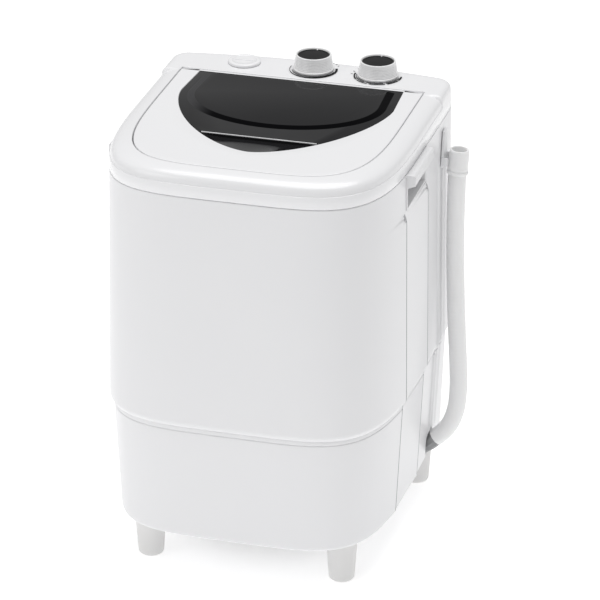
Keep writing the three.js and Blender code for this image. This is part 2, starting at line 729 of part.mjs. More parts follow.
function lidFrame() {
  const inset = LID_INSET + LID_GAP;
  const low = TOP - LID_SKIRT;
  let body = prism(frontOutline(inset, HINGE_Y), low, TOP);
  body = join(body, rod([-LID_HALF, HINGE_Y, HINGE_Z], [LID_HALF, HINGE_Y, HINGE_Z], HINGE_RADIUS, 20));
  body = cut(body, prism(frontOutline(inset + WALL, HINGE_Y - HINGE_RADIUS), low - 1, TOP - LID_PLATE));
  const pocket = TOP - WINDOW_THICK - 2 * GAP;
  body = cut(
    body,
    prism(windowOutline(-GAP, WINDOW_REAR + GAP), pocket, TOP + 1),
    prism(windowOutline(WINDOW_LEDGE, HINGE_Y - HINGE_RADIUS), low - 2, TOP)
  );
  for (const side of [-1, 1]) {
    const [start, end] = hingePinSpan(side, 0);
    const tip = [end + side, HINGE_Y, HINGE_Z];
    body = cut(body, rod([start - side * GAP, HINGE_Y, HINGE_Z], tip, HINGE_PIN_RADIUS + GAP, 14));
  }
  return body;
}

function lidWindow() {
  const top = TOP - GAP;
  const low = top - WINDOW_THICK;
  const wide = HALF * 2;
  const behind = box(-wide, wide, SCOOP_LINE, wide, 0, TOP * 2);
  const ahead = box(-wide, wide, -wide, SCOOP_LINE + WINDOW_THICK, 0, TOP * 2);
  const glass = prism(windowOutline(0), low, top).intersect(behind);
  // it ends ahead of the hinge, so that it rises clear of the deck as the lid opens
  const plateauRear = HINGE_Y - (TOP - HINGE_Z) - 2 * GAP;
  const plateau = prism(windowOutline(PLATEAU_INSET, plateauRear), top - 1, top + PLATEAU_RISE)
    .intersect(box(-wide, wide, SCOOP_LINE + 14, wide, 0, TOP * 2));
  const scoopOutline = windowOutline(WINDOW_LEDGE + GAP);
  const floor = prism(scoopOutline, top - SCOOP_DEPTH - WINDOW_THICK, top - SCOOP_DEPTH);
  const step = prism(scoopOutline, top - SCOOP_DEPTH - WINDOW_THICK, top - 0.5);
  const riser = step.intersect(box(-wide, wide, SCOOP_LINE, SCOOP_LINE + WINDOW_THICK, 0, TOP * 2));
  // the scoop's floor is held by a skirt that stands on the lid frame's ledge
  const ring = cut(
    prism(windowOutline(WINDOW_LEDGE + GAP), top - SCOOP_DEPTH - 1, top),
    prism(windowOutline(WINDOW_LEDGE + GAP + 2), 0, TOP * 2)
  );
  const flange = cut(prism(windowOutline(0), low, top), prism(windowOutline(WINDOW_LEDGE + GAP + 1), 0, TOP * 2));
  return join(glass, plateau, floor.intersect(ahead), riser, ring.intersect(ahead), flange.intersect(ahead));
}

function hingePin(side) {
  const [start, end] = hingePinSpan(side, 0);
  return rod([start, HINGE_Y, HINGE_Z], [end - side * GAP, HINGE_Y, HINGE_Z], HINGE_PIN_RADIUS, 14);
}

// ---------------------------------------------------------------- controls
const KNOB_LOW = TOP + DIAL_THICK + 2 * GAP;
const KNOB_HIGH = KNOB_LOW + KNOB_HEIGHT;

function knob(x) {
  const wallTop = 2;
  const pocket = KNOB_CAP_THICK - 1;
  const body = turned(
    [
      [0, KNOB_LOW + 5],
      [KNOB_BASE_RADIUS - 3, KNOB_LOW + 5],
      [KNOB_BASE_RADIUS - 2, KNOB_LOW],
      [KNOB_BASE_RADIUS, KNOB_LOW],
      [KNOB_BASE_RADIUS - 1, KNOB_LOW + 5],
      [KNOB_TOP_RADIUS - 0.3, KNOB_HIGH - 8],
      [KNOB_TOP_RADIUS, KNOB_HIGH - 1],
      [KNOB_TOP_RADIUS - 0.8, KNOB_HIGH],
      [KNOB_CAP_RADIUS + GAP, KNOB_HIGH - 0.4],
      [KNOB_CAP_RADIUS + GAP, KNOB_HIGH - wallTop - pocket],
      [0, KNOB_HIGH - wallTop - pocket],
    ],
    x,
    DECK_ROW,
    20
  );
  const bore = upright(x, DECK_ROW, KNOB_LOW, KNOB_HIGH - 9, KNOB_SHAFT_RADIUS + GAP, 12);
  return cut(body, bore);
}

function knobCap(x) {
  const top = KNOB_HIGH - 1.4;
  return turned(
    [
      [0, top - KNOB_CAP_THICK + 1 + GAP],
      [KNOB_CAP_RADIUS, top - KNOB_CAP_THICK + 1 + GAP],
      [KNOB_CAP_RADIUS, top],
      [KNOB_CAP_RADIUS - 1.2, top + 0.6],
      [0, top + 0.3],
    ],
    x,
    DECK_ROW,
    20
  );
}

const dialRing = (x) =>
  turned(
    [
      [DIAL_RADIUS - 3.5, TOP + GAP],
      [DIAL_RADIUS, TOP + GAP],
      [DIAL_RADIUS, TOP + GAP + DIAL_THICK],
      [DIAL_RADIUS - 3.5, TOP + GAP + DIAL_THICK],
      [DIAL_RADIUS - 3.5, TOP + GAP],
    ],
    x,
    DECK_ROW,
    20
  );

const CONTROL_TOP = TOP - WALL - 3.4;
const knobShaft = (x) =>
  upright(x, DECK_ROW, CONTROL_TOP + GAP, KNOB_HIGH - 9 - GAP, KNOB_SHAFT_RADIUS, 12);

function controlBody(x, width, depth, height) {
  const low = CONTROL_TOP - height;
  const block = box(x - width / 2, x + width / 2, DECK_ROW - depth / 2, DECK_ROW + depth / 2, low, CONTROL_TOP - 3);
  const collar = upright(x, DECK_ROW, CONTROL_TOP - 4, CONTROL_TOP, 9, 14);
  return join(block, collar);
}

function inletCap() {
  const low = TOP + GAP;
  return turned(
    [
      [0, low + 1.4],
      [CAP_RADIUS - 3, low + 1.4],
      [CAP_RADIUS - 3, low],
      [CAP_RADIUS, low],
      [CAP_RADIUS, low + CAP_HEIGHT - 1.6],
      [CAP_RADIUS - 1.6, low + CAP_HEIGHT - 0.4],
      [0, low + CAP_HEIGHT],
    ],
    CAP_X,
    DECK_ROW,
    20
  );
}

// The spout takes the water from the deck down and forward into the tub.
const SPOUT_Z = TOP - 56;
function inletSpout() {
  const tubEdge = TUB_Y + Math.sqrt((TUB_RADIUS + TUB_WALL) ** 2 - CAP_X ** 2);
  const start = tubEdge - 14;
  const route = (extra) =>
    vectors([
      [CAP_X, DECK_ROW, TOP + GAP + extra],
      [CAP_X, DECK_ROW, TOP - 14],
      [CAP_X, DECK_ROW - 1, TOP - 28],
      [CAP_X, DECK_ROW - 8, TOP - 42],
      [CAP_X, DECK_ROW - 22, TOP - 52],
      [CAP_X, DECK_ROW - 40, SPOUT_Z],
      [CAP_X, start - extra, SPOUT_Z - 2],
    ]);
  const outer = toSolid(sweep(route(0), INLET_RADIUS, 10, 9));
  const inner = toSolid(sweep(route(3), INLET_RADIUS - INLET_WALL, 8, 9));
  return cut(outer, inner);
}

// ---------------------------------------------------------------- tub and pulsator
function washTub() {
  const floor = TUB_FLOOR;
  const inside = [
    [SEAL_RADIUS + GAP, floor - TUB_CONE],
    [TUB_RADIUS - 30, floor],
    [TUB_RADIUS - 16, floor + 11],
    [TUB_RADIUS - 10, floor + 34],
    [TUB_RADIUS - 4, floor + 90],
    [TUB_RADIUS, TUB_TOP],
  ];
  const outside = inside.map(([radius, z], i) => {
    if (i === 0) return [radius, z - TUB_WALL];
    if (i === 1) return [radius + 1, z - TUB_WALL];
    return [radius + TUB_WALL, i === inside.length - 1 ? z : z - 1];
  });
  const profile = [...outside, ...inside.slice().reverse(), outside[0]];
  const barrel = turned(profile, 0, TUB_Y, TUB_SIDES);
  const flangeInset = LID_INSET + 2;
  const flange = cut(
    prism(frontOutline(flangeInset, LID_REAR - 2), TUB_TOP - TUB_WALL, TUB_TOP),
    upright(0, TUB_Y, TUB_TOP - 20, TUB_TOP + 1, TUB_RADIUS + 0.5, TUB_SIDES)
  );
  let body = join(barrel, flange);
  const [dx, dy] = DRAIN_AXIS;
  const stub = upright(dx, dy, floor - TUB_SUMP, floor - 1.5, DRAIN_RADIUS, 16);
  body = join(body, stub);
  body = cut(body, upright(dx, dy, floor - 30, floor + 6, DRAIN_RADIUS - 2, 16));
  const ahead = [CAP_X, TUB_Y + TUB_RADIUS / 2, SPOUT_Z - 2];
  return cut(body, rod(ahead, [CAP_X, LID_REAR + 12, SPOUT_Z - 2], INLET_RADIUS + 1, 14));
}

const PULSATOR_LOW = TUB_FLOOR - TUB_CONE + 4.4;
function pulsator() {
  const low = PULSATOR_LOW;
  const hub = 14;
  let body = turned(
    [
      [SHAFT_RADIUS + GAP, low - 2],
      [hub, low - 2],
      [hub + 4, low + 1],
      [PULSATOR_RADIUS - 2, low + 0.8],
      [PULSATOR_RADIUS, low + 2.4],
      [PULSATOR_RADIUS - 1, low + PULSATOR_RIM],
      [PULSATOR_RADIUS * 0.6, low + 7],
      [hub + 10, low + PULSATOR_RISE * 0.7],
      [hub, low + PULSATOR_RISE],
      [SHAFT_RADIUS + GAP, low + PULSATOR_RISE],
      [SHAFT_RADIUS + GAP, low - 2],
    ],
    0,
    TUB_Y,
    16
  );
  for (let k = 0; k < FINS; k++) {
    const outline = [
      [hub - 2, low + PULSATOR_RISE - 2],
      [hub - 2, low + 4],
      [PULSATOR_RADIUS - 6, low + 3],
      [PULSATOR_RADIUS - 8, low + 8],
      [PULSATOR_RADIUS * 0.7, low + FIN_HEIGHT + 2],
      [hub + 12, low + PULSATOR_RISE + 1],
    ];
    const fin = new THREE.ExtrudeGeometry(
      new THREE.Shape(outline.map(([x, z]) => new THREE.Vector2(x, z))),
      { depth: 9, bevelEnabled: false }
    );
    fin.rotateX(Math.PI / 2);
    fin.translate(0, 4.5, 0);
    fin.rotateZ((2 * Math.PI * k) / FINS + Math.PI / 4);
    fin.translate(0, TUB_Y, 0);
    body = join(body, toSolid(fin));
  }
  return body;
}

const SHAFT_TOP = PULSATOR_LOW + PULSATOR_RISE - GAP;
const SHAFT_LOW = BELT_Z - PULLEY_THICK / 2 - 4;
const pulsatorScrew = () =>
  turned(
    [
      [0, SHAFT_TOP + GAP * 2],
      [8, SHAFT_TOP + GAP * 2],
      [8, SHAFT_TOP + 3.4],
      [6.4, SHAFT_TOP + 5.2],
      [0, SHAFT_TOP + 5.6],
    ],
    0,
    TUB_Y,
    16
  );

const FLANGE_TOP = TUB_FLOOR - TUB_CONE - TUB_WALL - GAP;
const shaftSeal = () =>
  turned(
    [
      [SHAFT_RADIUS + RUN, FLANGE_TOP + GAP],
      [SEAL_RADIUS, FLANGE_TOP + GAP],
      [SEAL_RADIUS, PULSATOR_LOW - 2.5],
      [SHAFT_RADIUS + RUN, PULSATOR_LOW - 2.5],
      [SHAFT_RADIUS + RUN, FLANGE_TOP + GAP],
    ],
    0,
    TUB_Y,
    16
  );

const bearingHousing = () =>
  turned(
    [
      [SHAFT_RADIUS + RUN, BELT_Z + PULLEY_THICK / 2 + 3],
      [BEARING_RADIUS - 8, BELT_Z + PULLEY_THICK / 2 + 3],
      [BEARING_RADIUS, BELT_Z + PULLEY_THICK / 2 + 14],
      [BEARING_RADIUS, FLANGE_TOP - 14],
      [BEARING_FLANGE, FLANGE_TOP - 5],
      [BEARING_FLANGE, FLANGE_TOP],
      [SHAFT_RADIUS + RUN, FLANGE_TOP],
      [SHAFT_RADIUS + RUN, BELT_Z + PULLEY_THICK / 2 + 3],
    ],
    0,
    TUB_Y,
    16
  );

// ---------------------------------------------------------------- drive
function groovedPulley(x, y, groove, bore, sides) {
  const low = BELT_Z - PULLEY_THICK / 2;
  const high = BELT_Z + PULLEY_THICK / 2;
  const half = BELT_WIDTH / 2 + 0.6;
  const edge = groove + PULLEY_FLANGE;
  return turned(
    [
      [bore, low],
      [edge, low],
      [edge, BELT_Z - half],
      [groove, BELT_Z - half],
      [groove, BELT_Z + half],
      [edge, BELT_Z + half],
      [edge, high],
      [bore, high],
      [bore, low],
    ],
    x,
    y,
    sides
  );
}

function beltOutline(extra) {
  const a = new THREE.Vector2(0, TUB_Y);
  const b = new THREE.Vector2(...MOTOR_AXIS);
  const ra = DRIVEN_GROOVE + 0.4 + extra;
  const rb = MOTOR_GROOVE + 0.4 + extra;
  const along = b.clone().sub(a);
  const heading = Math.atan2(along.y, along.x);
  const open = Math.acos((ra - rb) / along.length());
  const points = [];
  const arc = (centre, radius, from, to, steps) => {
    for (let k = 0; k <= steps; k++) {
      const angle = from + ((to - from) * k) / steps;
      points.push(new THREE.Vector2(centre.x + radius * Math.cos(angle), centre.y + radius * Math.sin(angle)));
    }
  };
  arc(a, ra, heading + open, heading + 2 * Math.PI - open, 16);
  arc(b, rb, heading - open, heading + open, 7);
  return points;
}

function driveBelt() {
  const low = BELT_Z - BELT_WIDTH / 2;
  const high = BELT_Z + BELT_WIDTH / 2;
  return cut(prism(beltOutline(BELT_THICK), low, high), prism(beltOutline(0), low - 1, high + 1));
}

function motorPlate() {
  let plate = box(-PLATE_X, PLATE_X, PLATE_FRONT, PLATE_REAR, PLATE_Z, PLATE_Z + PLATE_THICK);
  const holes = [
    [0, TUB_Y, BEARING_RADIUS + 2],
    [...MOTOR_AXIS, 22],
    [...DRAIN_AXIS, VALVE_RADIUS + 2],
  ];
  for (const [x, y, radius] of holes) {
    plate = cut(plate, upright(x, y, PLATE_Z - 1, PLATE_Z + PLATE_THICK + 1, radius, 18));
  }
  return plate;
}

const MOTOR_LOW = PLATE_Z + PLATE_THICK + GAP;
function motor() {
  const high = MOTOR_LOW + MOTOR_HEIGHT;
  return turned(
    [
      [MOTOR_SHAFT_RADIUS + 3, MOTOR_LOW],
      [MOTOR_RADIUS - 12, MOTOR_LOW],
      [MOTOR_RADIUS - 3, MOTOR_LOW + 8],
      [MOTOR_RADIUS - 3, MOTOR_LOW + 18],
      [MOTOR_RADIUS, MOTOR_LOW + 18],
      [MOTOR_RADIUS, high - 20],
      [MOTOR_RADIUS - 3, high - 20],
      [MOTOR_RADIUS - 3, high - 9],
      [MOTOR_RADIUS - 14, high],
      [0, high],
      [0, high - 6],
      [MOTOR_SHAFT_RADIUS + 3, high - 6],
      [MOTOR_SHAFT_RADIUS + 3, MOTOR_LOW],
    ],
    ...MOTOR_AXIS,
    18
  );
}

const motorShaft = () =>
  upright(...MOTOR_AXIS, BELT_Z - PULLEY_THICK / 2 - 4, MOTOR_LOW + MOTOR_HEIGHT - 8, MOTOR_SHAFT_RADIUS, 12);

const capacitor = () =>
  upright(...CAPACITOR_AXIS, MOTOR_LOW, MOTOR_LOW + CAPACITOR_HEIGHT, CAPACITOR_RADIUS, 18);

// ---------------------------------------------------------------- drain
const VALVE_TOP = TUB_FLOOR - TUB_SUMP - GAP;
const VALVE_LOW = LEG_HEIGHT + 14;
const PIPE_START = [DRAIN_AXIS[0] + VALVE_RADIUS + GAP, DRAIN_AXIS[1] + 4, VALVE_LOW + 14];

const drainValve = () =>
  turned(
    [
      [DRAIN_RADIUS - 2, VALVE_TOP - 6],
      [DRAIN_RADIUS - 2, VALVE_TOP],
      [VALVE_RADIUS - 3, VALVE_TOP],
      [VALVE_RADIUS - 3, VALVE_TOP - 40],
      [VALVE_RADIUS, VALVE_TOP - 46],
      [VALVE_RADIUS, VALVE_LOW + 2],
      [VALVE_RADIUS - 3, VALVE_LOW],
      [0, VALVE_LOW],
      [0, VALVE_TOP - 6],
      [DRAIN_RADIUS - 2, VALVE_TOP - 6],
    ].reverse(),
    ...DRAIN_AXIS,
    18
  );

const filterCover = () =>
  turned(
    [
      [0, TUB_FLOOR + 2.8],
      [DRAIN_RADIUS, TUB_FLOOR + 2.8],
      [DRAIN_RADIUS, TUB_FLOOR + 4],
      [DRAIN_RADIUS - 2, TUB_FLOOR + 5],
      [0, TUB_FLOOR + 5.4],
    ],
    ...DRAIN_AXIS,
    18
  );

const HOSE_HEADING = new THREE.Vector3(...HOSE_POINTS[1]).sub(new THREE.Vector3(...HOSE_POINTS[0])).normalize();
const PIPE_END = OUTLET_MOUTH.clone().addScaledVector(HOSE_HEADING, -GAP);

// A straight line through the wall, along the nipple.
function outletAxis() {
  const from = PIPE_END.clone().addScaledVector(HOSE_HEADING, -OUTLET_BORE);
  const to = PIPE_END.clone().addScaledVector(HOSE_HEADING, PIPE_RADIUS + 1);
  return [from.toArray(), to.toArray()];
}

function outletPipe() {
  const back = (length) => PIPE_END.clone().addScaledVector(HOSE_HEADING, -length);
  const bend = HALF - OUTLET_BORE - PIPE_BEND_ROOM;
  const route = (extra) => [
    new THREE.Vector3(PIPE_START[0] - extra, PIPE_START[1] - extra * 0.3, PIPE_START[2]),
    new THREE.Vector3(PIPE_START[0] + 12, PIPE_START[1] + 4, PIPE_START[2] - 1),
    new THREE.Vector3(bend - 14, PIPE_START[1] + 24, PIPE_START[2] - 6),
    new THREE.Vector3(bend, PIPE_START[1] + 48, PIPE_START[2] - 10),
    back(17),
    back(8),
    back(-extra),
  ];
  const length = new THREE.CatmullRomCurve3(route(0), false, 'centripetal').getLength();
  const steps = Math.round(length / PIPE_PITCH);
  const outer = toSolid(sweep(route(0), PIPE_RADIUS, 10, steps));
  const inner = toSolid(sweep(route(2), PIPE_RADIUS - PIPE_WALL, 8, steps));
  return cut(outer, inner);
}

const CUFF_START = new THREE.Vector3(...HOSE_POINTS.at(-1)).addScaledVector(CUFF_TILT, 2 * GAP);

function hoseCuff() {
  const at = (length) => CUFF_START.clone().addScaledVector(CUFF_TILT, length).toArray();
  const body = join(
    rod(at(0), at(CUFF_LENGTH), CUFF_RADIUS - 0.6, 18, CUFF_RADIUS - 1.6),
    rod(at(0), at(3), CUFF_RADIUS, 18)
  );
  return cut(body, rod(at(CUFF_LENGTH - 20), at(CUFF_LENGTH + 2), HOSE_RADIUS - 3, 14));
}

// The hanger is a plate on the side wall with two arms that hold the cuff.
function hoseHanger() {
  const wall = HALF + DRAFT * 0.25;
  const [, y] = HOSE_POINTS.at(-1);
  const low = RIM - HANGER_DROP;
  const high = low + HANGER_HEIGHT;
  const reach = HANDLE_REACH - GAP;
  const plate = [
    [y - 13, low],
    [y + 13, low],
    [y + 10, high],
    [y - 4, high],
  ];
  const geometry = new THREE.ExtrudeGeometry(
    new THREE.Shape(plate.map(([py, pz]) => new THREE.Vector2(py, pz))),
    { depth: HANGER_THICK, bevelEnabled: false }
  );
  geometry.rotateZ(Math.PI / 2);
  geometry.rotateY(Math.PI / 2);
  geometry.translate(wall + GAP, 0, 0);
  const half = CUFF_RADIUS * 0.7;
  const arm = (from, to) => box(wall + GAP + 1, reach, from, to, low + 2, low + 12);
  return join(toSolid(geometry), arm(y - half - 3, y - half), arm(y + half, y + half + 3));
}

// ---------------------------------------------------------------- rear
function panelScrewPlaces() {
  const x = PANEL_HALF - PANEL_LAP / 2;
  const places = [];
  for (const z of [PANEL_LOW + PANEL_LAP / 2, (PANEL_LOW + PANEL_HIGH) / 2, PANEL_HIGH - PANEL_LAP / 2]) {
    places.push([-x, z], [x, z]);
  }
  return places;
}

function rearPanel() {
  const from = REAR + GAP;
  let panel = box(-PANEL_HALF, PANEL_HALF, from, from + PANEL_THICK, PANEL_LOW, PANEL_HIGH);
  for (const [x, z] of panelScrewPlaces()) {
    panel = cut(panel, rod([x, from - 1, z], [x, from + PANEL_THICK + 1, z], SCREW_RADIUS / 2 + GAP, 8));
  }
  for (let k = 0; k < VENTS; k++) {
    const z = PANEL_LOW + VENT_RISE + VENT_PITCH * k;
    const slot = box(-VENT_HALF, VENT_HALF, from - 1, from + PANEL_THICK + 1, z, z + VENT_HEIGHT);
    panel = cut(panel, slot);
  }
  return panel;
}

function panelScrew(x, z) {
  const face = REAR + GAP + PANEL_THICK + GAP;
  return join(
    rod([x, face, z], [x, face + SCREW_HEAD, z], SCREW_RADIUS, 10, SCREW_RADIUS * 0.8),
    rod([x, REAR - WALL - 3, z], [x, face + 0.5, z], SCREW_RADIUS / 2, 8)
  );
}

function cordGland() {
  const [x, z] = GLAND_PLACE;
  const wall = REAR - 3;
  return join(
    rod([x, wall + GAP, z], [x, wall + 3, z], GLAND_RADIUS, 14),
    rod([x, wall + 2, z], [x, wall + GLAND_REACH, z], GLAND_RADIUS * 0.7, 14, GLAND_RADIUS * 0.5),
    rod([x, wall - 6, z], [x, wall + 2, z], GLAND_RADIUS * 0.6, 12)
  );
}

// ---------------------------------------------------------------- the machine
const machine = new THREE.Group();

function add(name, geometry, finish) {
  const mesh = new THREE.Mesh(geometry, finishes[finish]());
  mesh.name = name;
  machine.add(mesh);
  return mesh;
}

const addSolid = (name, solid, finish) => add(name, toGeometry(solid), finish);

addSolid('upper_housing', upperHousing(), 'white');
addSolid('base_shell', baseShell(), 'white');
const legNames = ['leg_front_left', 'leg_front_right', 'leg_rear_left', 'leg_rear_right'];
legPlaces().forEach(([x, y], i) => addSolid(legNames[i], turned(legProfile(), x, y, 14), 'leg'));
addSolid('top_frame', topFrame(), 'white');
addSolid('side_handle_left', sideHandle(-1), 'handle');
addSolid('side_handle_right', sideHandle(1), 'handle');

addSolid('lid_frame', lidFrame(), 'white');
addSolid('lid_window', lidWindow(), 'smoked');
addSolid('lid_hinge_pin_left', hingePin(-1), 'steel');
addSolid('lid_hinge_pin_right', hingePin(1), 'steel');

for (const [name, x, size] of [
  ['wash_timer', TIMER_X, [54, 34, 34]],
  ['drain_selector', SELECTOR_X, [44, 32, 26]],
]) {
  addSolid(`${name}_dial`, dialRing(x), 'black');
  addSolid(`${name}_knob`, knob(x), 'knob');
  addSolid(`${name}_knob_cap`, knobCap(x), 'black');
  addSolid(`${name}_shaft`, knobShaft(x), 'steel');
  addSolid(`${name}_body`, controlBody(x, ...size), 'grey');
}
addSolid('inlet_cap', inletCap(), 'white');
addSolid('inlet_spout', inletSpout(), 'grey');

addSolid('wash_tub', washTub(), 'tub');
addSolid('drain_filter_cover', filterCover(), 'grey');
addSolid('pulsator', pulsator(), 'pulsator');
addSolid('pulsator_screw', pulsatorScrew(), 'steel');
addSolid('pulsator_shaft', upright(0, TUB_Y, SHAFT_LOW, SHAFT_TOP, SHAFT_RADIUS, 16), 'steel');
addSolid('shaft_seal', shaftSeal(), 'rubber');
addSolid('bearing_housing', bearingHousing(), 'zinc');
addSolid('driven_pulley', groovedPulley(0, TUB_Y, DRIVEN_GROOVE, SHAFT_RADIUS + GAP, 24), 'pulley');
addSolid('drive_belt', driveBelt(), 'rubber');
addSolid('motor_plate', motorPlate(), 'zinc');
addSolid('motor', motor(), 'motor');
addSolid('motor_shaft', motorShaft(), 'steel');
addSolid('motor_pulley', groovedPulley(...MOTOR_AXIS, MOTOR_GROOVE, MOTOR_SHAFT_RADIUS + GAP, 14), 'pulley');
addSolid('motor_capacitor', capacitor(), 'grey');

addSolid('drain_valve', drainValve(), 'grey');
addSolid('outlet_pipe', outletPipe(), 'grey');
add('drain_hose', sweep(vectors(HOSE_POINTS), HOSE_RADIUS, 10, 16), 'hose');
addSolid('hose_cuff', hoseCuff(), 'hose');
addSolid('hose_hanger', hoseHanger(), 'handle');

addSolid('rear_panel', rearPanel(), 'white');
panelScrewPlaces().forEach(([x, z], i) => addSolid(`rear_panel_screw_${i + 1}`, panelScrew(x, z), 'steel'));
addSolid('cord_gland', cordGland(), 'rubber');

export default machine;
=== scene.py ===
# Looks of a compact top load washing machine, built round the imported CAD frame. Metres, +Z up. The front
# faces -Y and the drain hose is on the +X side.
import math

import bmesh
import bpy
import numpy as np
from mathutils import Matrix, Vector


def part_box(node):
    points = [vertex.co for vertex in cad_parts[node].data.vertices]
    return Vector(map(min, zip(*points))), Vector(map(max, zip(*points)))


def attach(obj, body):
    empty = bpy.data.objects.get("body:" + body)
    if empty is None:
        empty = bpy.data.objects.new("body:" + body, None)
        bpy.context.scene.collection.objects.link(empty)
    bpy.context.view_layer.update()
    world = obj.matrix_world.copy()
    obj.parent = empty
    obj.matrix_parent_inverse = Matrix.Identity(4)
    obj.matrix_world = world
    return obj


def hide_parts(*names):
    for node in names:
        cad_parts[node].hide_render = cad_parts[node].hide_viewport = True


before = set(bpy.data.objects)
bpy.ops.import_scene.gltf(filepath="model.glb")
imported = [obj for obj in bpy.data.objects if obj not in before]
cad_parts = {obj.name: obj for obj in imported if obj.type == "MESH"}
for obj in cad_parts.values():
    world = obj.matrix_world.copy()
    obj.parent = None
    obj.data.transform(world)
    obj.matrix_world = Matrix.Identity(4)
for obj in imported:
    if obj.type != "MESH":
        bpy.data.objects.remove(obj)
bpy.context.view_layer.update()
MM = 0.001
TAU = 2 * math.pi

# ---------------------------------------------------------------- sizes read from the frame
GAP = 0.35 * MM
HOUSING, BASE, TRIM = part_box("upper_housing"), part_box("base_shell"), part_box("top_frame")
LID, PANE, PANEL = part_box("lid_frame"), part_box("lid_window"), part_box("rear_panel")
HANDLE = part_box("side_handle_right")
HALF = TRIM[1].x
FRONT = TRIM[0].y
REAR = HOUSING[1].y
SEAM = HOUSING[0].z - GAP
RIM = HOUSING[1].z + GAP
TOP = TRIM[1].z
FLOOR = BASE[0].z
LID_REAR = LID[1].y + 0.6 * MM

# ---------------------------------------------------------------- shape of the plan
FRONT_POWER = 4.4  # roundness of the front corners
FRONT_DEPTH = 264.5 * MM
PLAN_CENTRE = FRONT + FRONT_DEPTH
REAR_CORNER = 24 * MM
DECK_BOW = TRIM[1].y - REAR
WALL = 2.6 * MM

# ---------------------------------------------------------------- camera
TARGET = Vector((0, -14 * MM, 300 * MM))
DISTANCE = 4.5
AZIMUTH = math.radians(15.84)
ELEVATION = math.radians(25.09)
LENS = 220.5
SHIFT = (0.0485, 0.0107)


def placed_object(name, data):
    obj = bpy.data.objects.new(name, data)
    bpy.context.scene.collection.objects.link(obj)
    return obj


def aimed(obj, place, target):
    """Puts a camera or lamp at a place and turns it to a target."""
    obj.location = place
    obj.rotation_euler = (Vector(target) - Vector(place)).to_track_quat("-Z", "Y").to_euler()


def make_camera():
    level = math.cos(ELEVATION)
    back = Vector((math.sin(AZIMUTH) * level, -math.cos(AZIMUTH) * level, math.sin(ELEVATION)))
    camera = placed_object("camera", bpy.data.cameras.new("camera"))
    aimed(camera, TARGET + back * DISTANCE, TARGET)
    camera.data.sensor_width = 36
    camera.data.lens = LENS
    camera.data.shift_x, camera.data.shift_y = SHIFT
    camera.data.clip_end = 60
    bpy.context.scene.camera = camera


make_camera()


# ---------------------------------------------------------------- mesh helpers
def smooth_step(low, high, value):
    t = min(max((value - low) / (high - low), 0), 1)
    return t * t * (3 - 2 * t)


def mix(a, b, t):
    return a + (b - a) * t


def blended_ring(a, b, t):
    """A ring part of the way between two rings with as many points."""
    return [tuple(mix(u, v, t) for u, v in zip(p, q)) for p, q in zip(a, b)]


def at_level(z, ring):
    return [(x, y, z) for x, y in ring]


def in_mm(profile, base=0.0):
    """A turned profile given in millimetres, its heights above a base."""
    return [(r * MM, base + h * MM) for r, h in profile]


def circle(centre, side, other, radius, count):
    """Points round a centre, in the plane of two directions."""
    turns = (TAU * k / count for k in range(count))
    return [centre + (side * math.cos(t) + other * math.sin(t)) * radius for t in turns]


def middle_of(box):
    return (box[0] + box[1]) / 2


def soften(obj, angle=40):
    """Smooth shading, with the edges sharper than the angle left crisp."""
    bm = bmesh.new()
    bm.from_mesh(obj.data)
    limit = math.radians(angle)
    for face in bm.faces:
        face.smooth = True
    for edge in bm.edges:
        edge.smooth = len(edge.link_faces) == 2 and edge.calc_face_angle(0) < limit
    bm.to_mesh(obj.data)
    bm.free()


def new_object(name, vertices, faces, smooth=40):
    """A closed mesh from points and faces, with its faces turned outwards and soft edges under that angle."""
    mesh = bpy.data.meshes.new(name)
    mesh.from_pydata([tuple(v) for v in vertices], [], [tuple(f) for f in faces])
    bm = bmesh.new()
    bm.from_mesh(mesh)
    bmesh.ops.remove_doubles(bm, verts=bm.verts, dist=1e-6)
    bmesh.ops.dissolve_degenerate(bm, edges=bm.edges, dist=1e-7)
    bmesh.ops.recalc_face_normals(bm, faces=bm.faces)
    bm.to_mesh(mesh)
    bm.free()
    obj = placed_object(name, mesh)
    soften(obj, smooth)
    return obj


def swept(name, rings, smooth=40, closed=False):
    """A skin over equally long closed rings, capped at both ends, or with the last ring joined to the first."""
    count, total = len(rings[0]), len(rings)
    faces = []
    for k in range(total if closed else total - 1):
        a, b = k * count, ((k + 1) % total) * count
        faces += [(a + i, a + (i + 1) % count, b + (i + 1) % count, b + i) for i in range(count)]
    if not closed:
        faces.append(tuple(reversed(range(count))))
        faces.append(tuple(range((total - 1) * count, total * count)))
    return new_object(name, [p for ring in rings for p in ring], faces, smooth)


def lathe(name, profile, centre, segments=64, smooth=40, shape=None):
    """A profile of (radius, height) turned about an upright axis, from the axis back to the axis."""
    rings = []
    for k, (radius, height) in enumerate(profile):
        ring = []
        for angle in (TAU * i / segments for i in range(segments)):
            r, h = (radius, shape(k, radius, height, angle)) if shape else (radius, height)
            ring.append((centre[0] + r * math.cos(angle), centre[1] + r * math.sin(angle), h))
        rings.append(ring)
    return swept(name, rings, smooth)


def rounded(x0, y0, x1, y1, radius, steps=4):
    """A counter-clockwise rectangle with each corner turned into an arc of about that radius."""
    made = []
    corners = [Vector(p) for p in ((x0, y0), (x1, y0), (x1, y1), (x0, y1))]
    for i, p in enumerate(corners):
        a, b = corners[i - 1] - p, corners[(i + 1) % 4] - p
        reach = min(radius, a.length * 0.49, b.length * 0.49)
        start, end = p + a.normalized() * reach, p + b.normalized() * reach
        for t in (k / steps for k in range(steps + 1)):
            made.append((1 - t) ** 2 * start + 2 * t * (1 - t) * p + t * t * end)
    return made


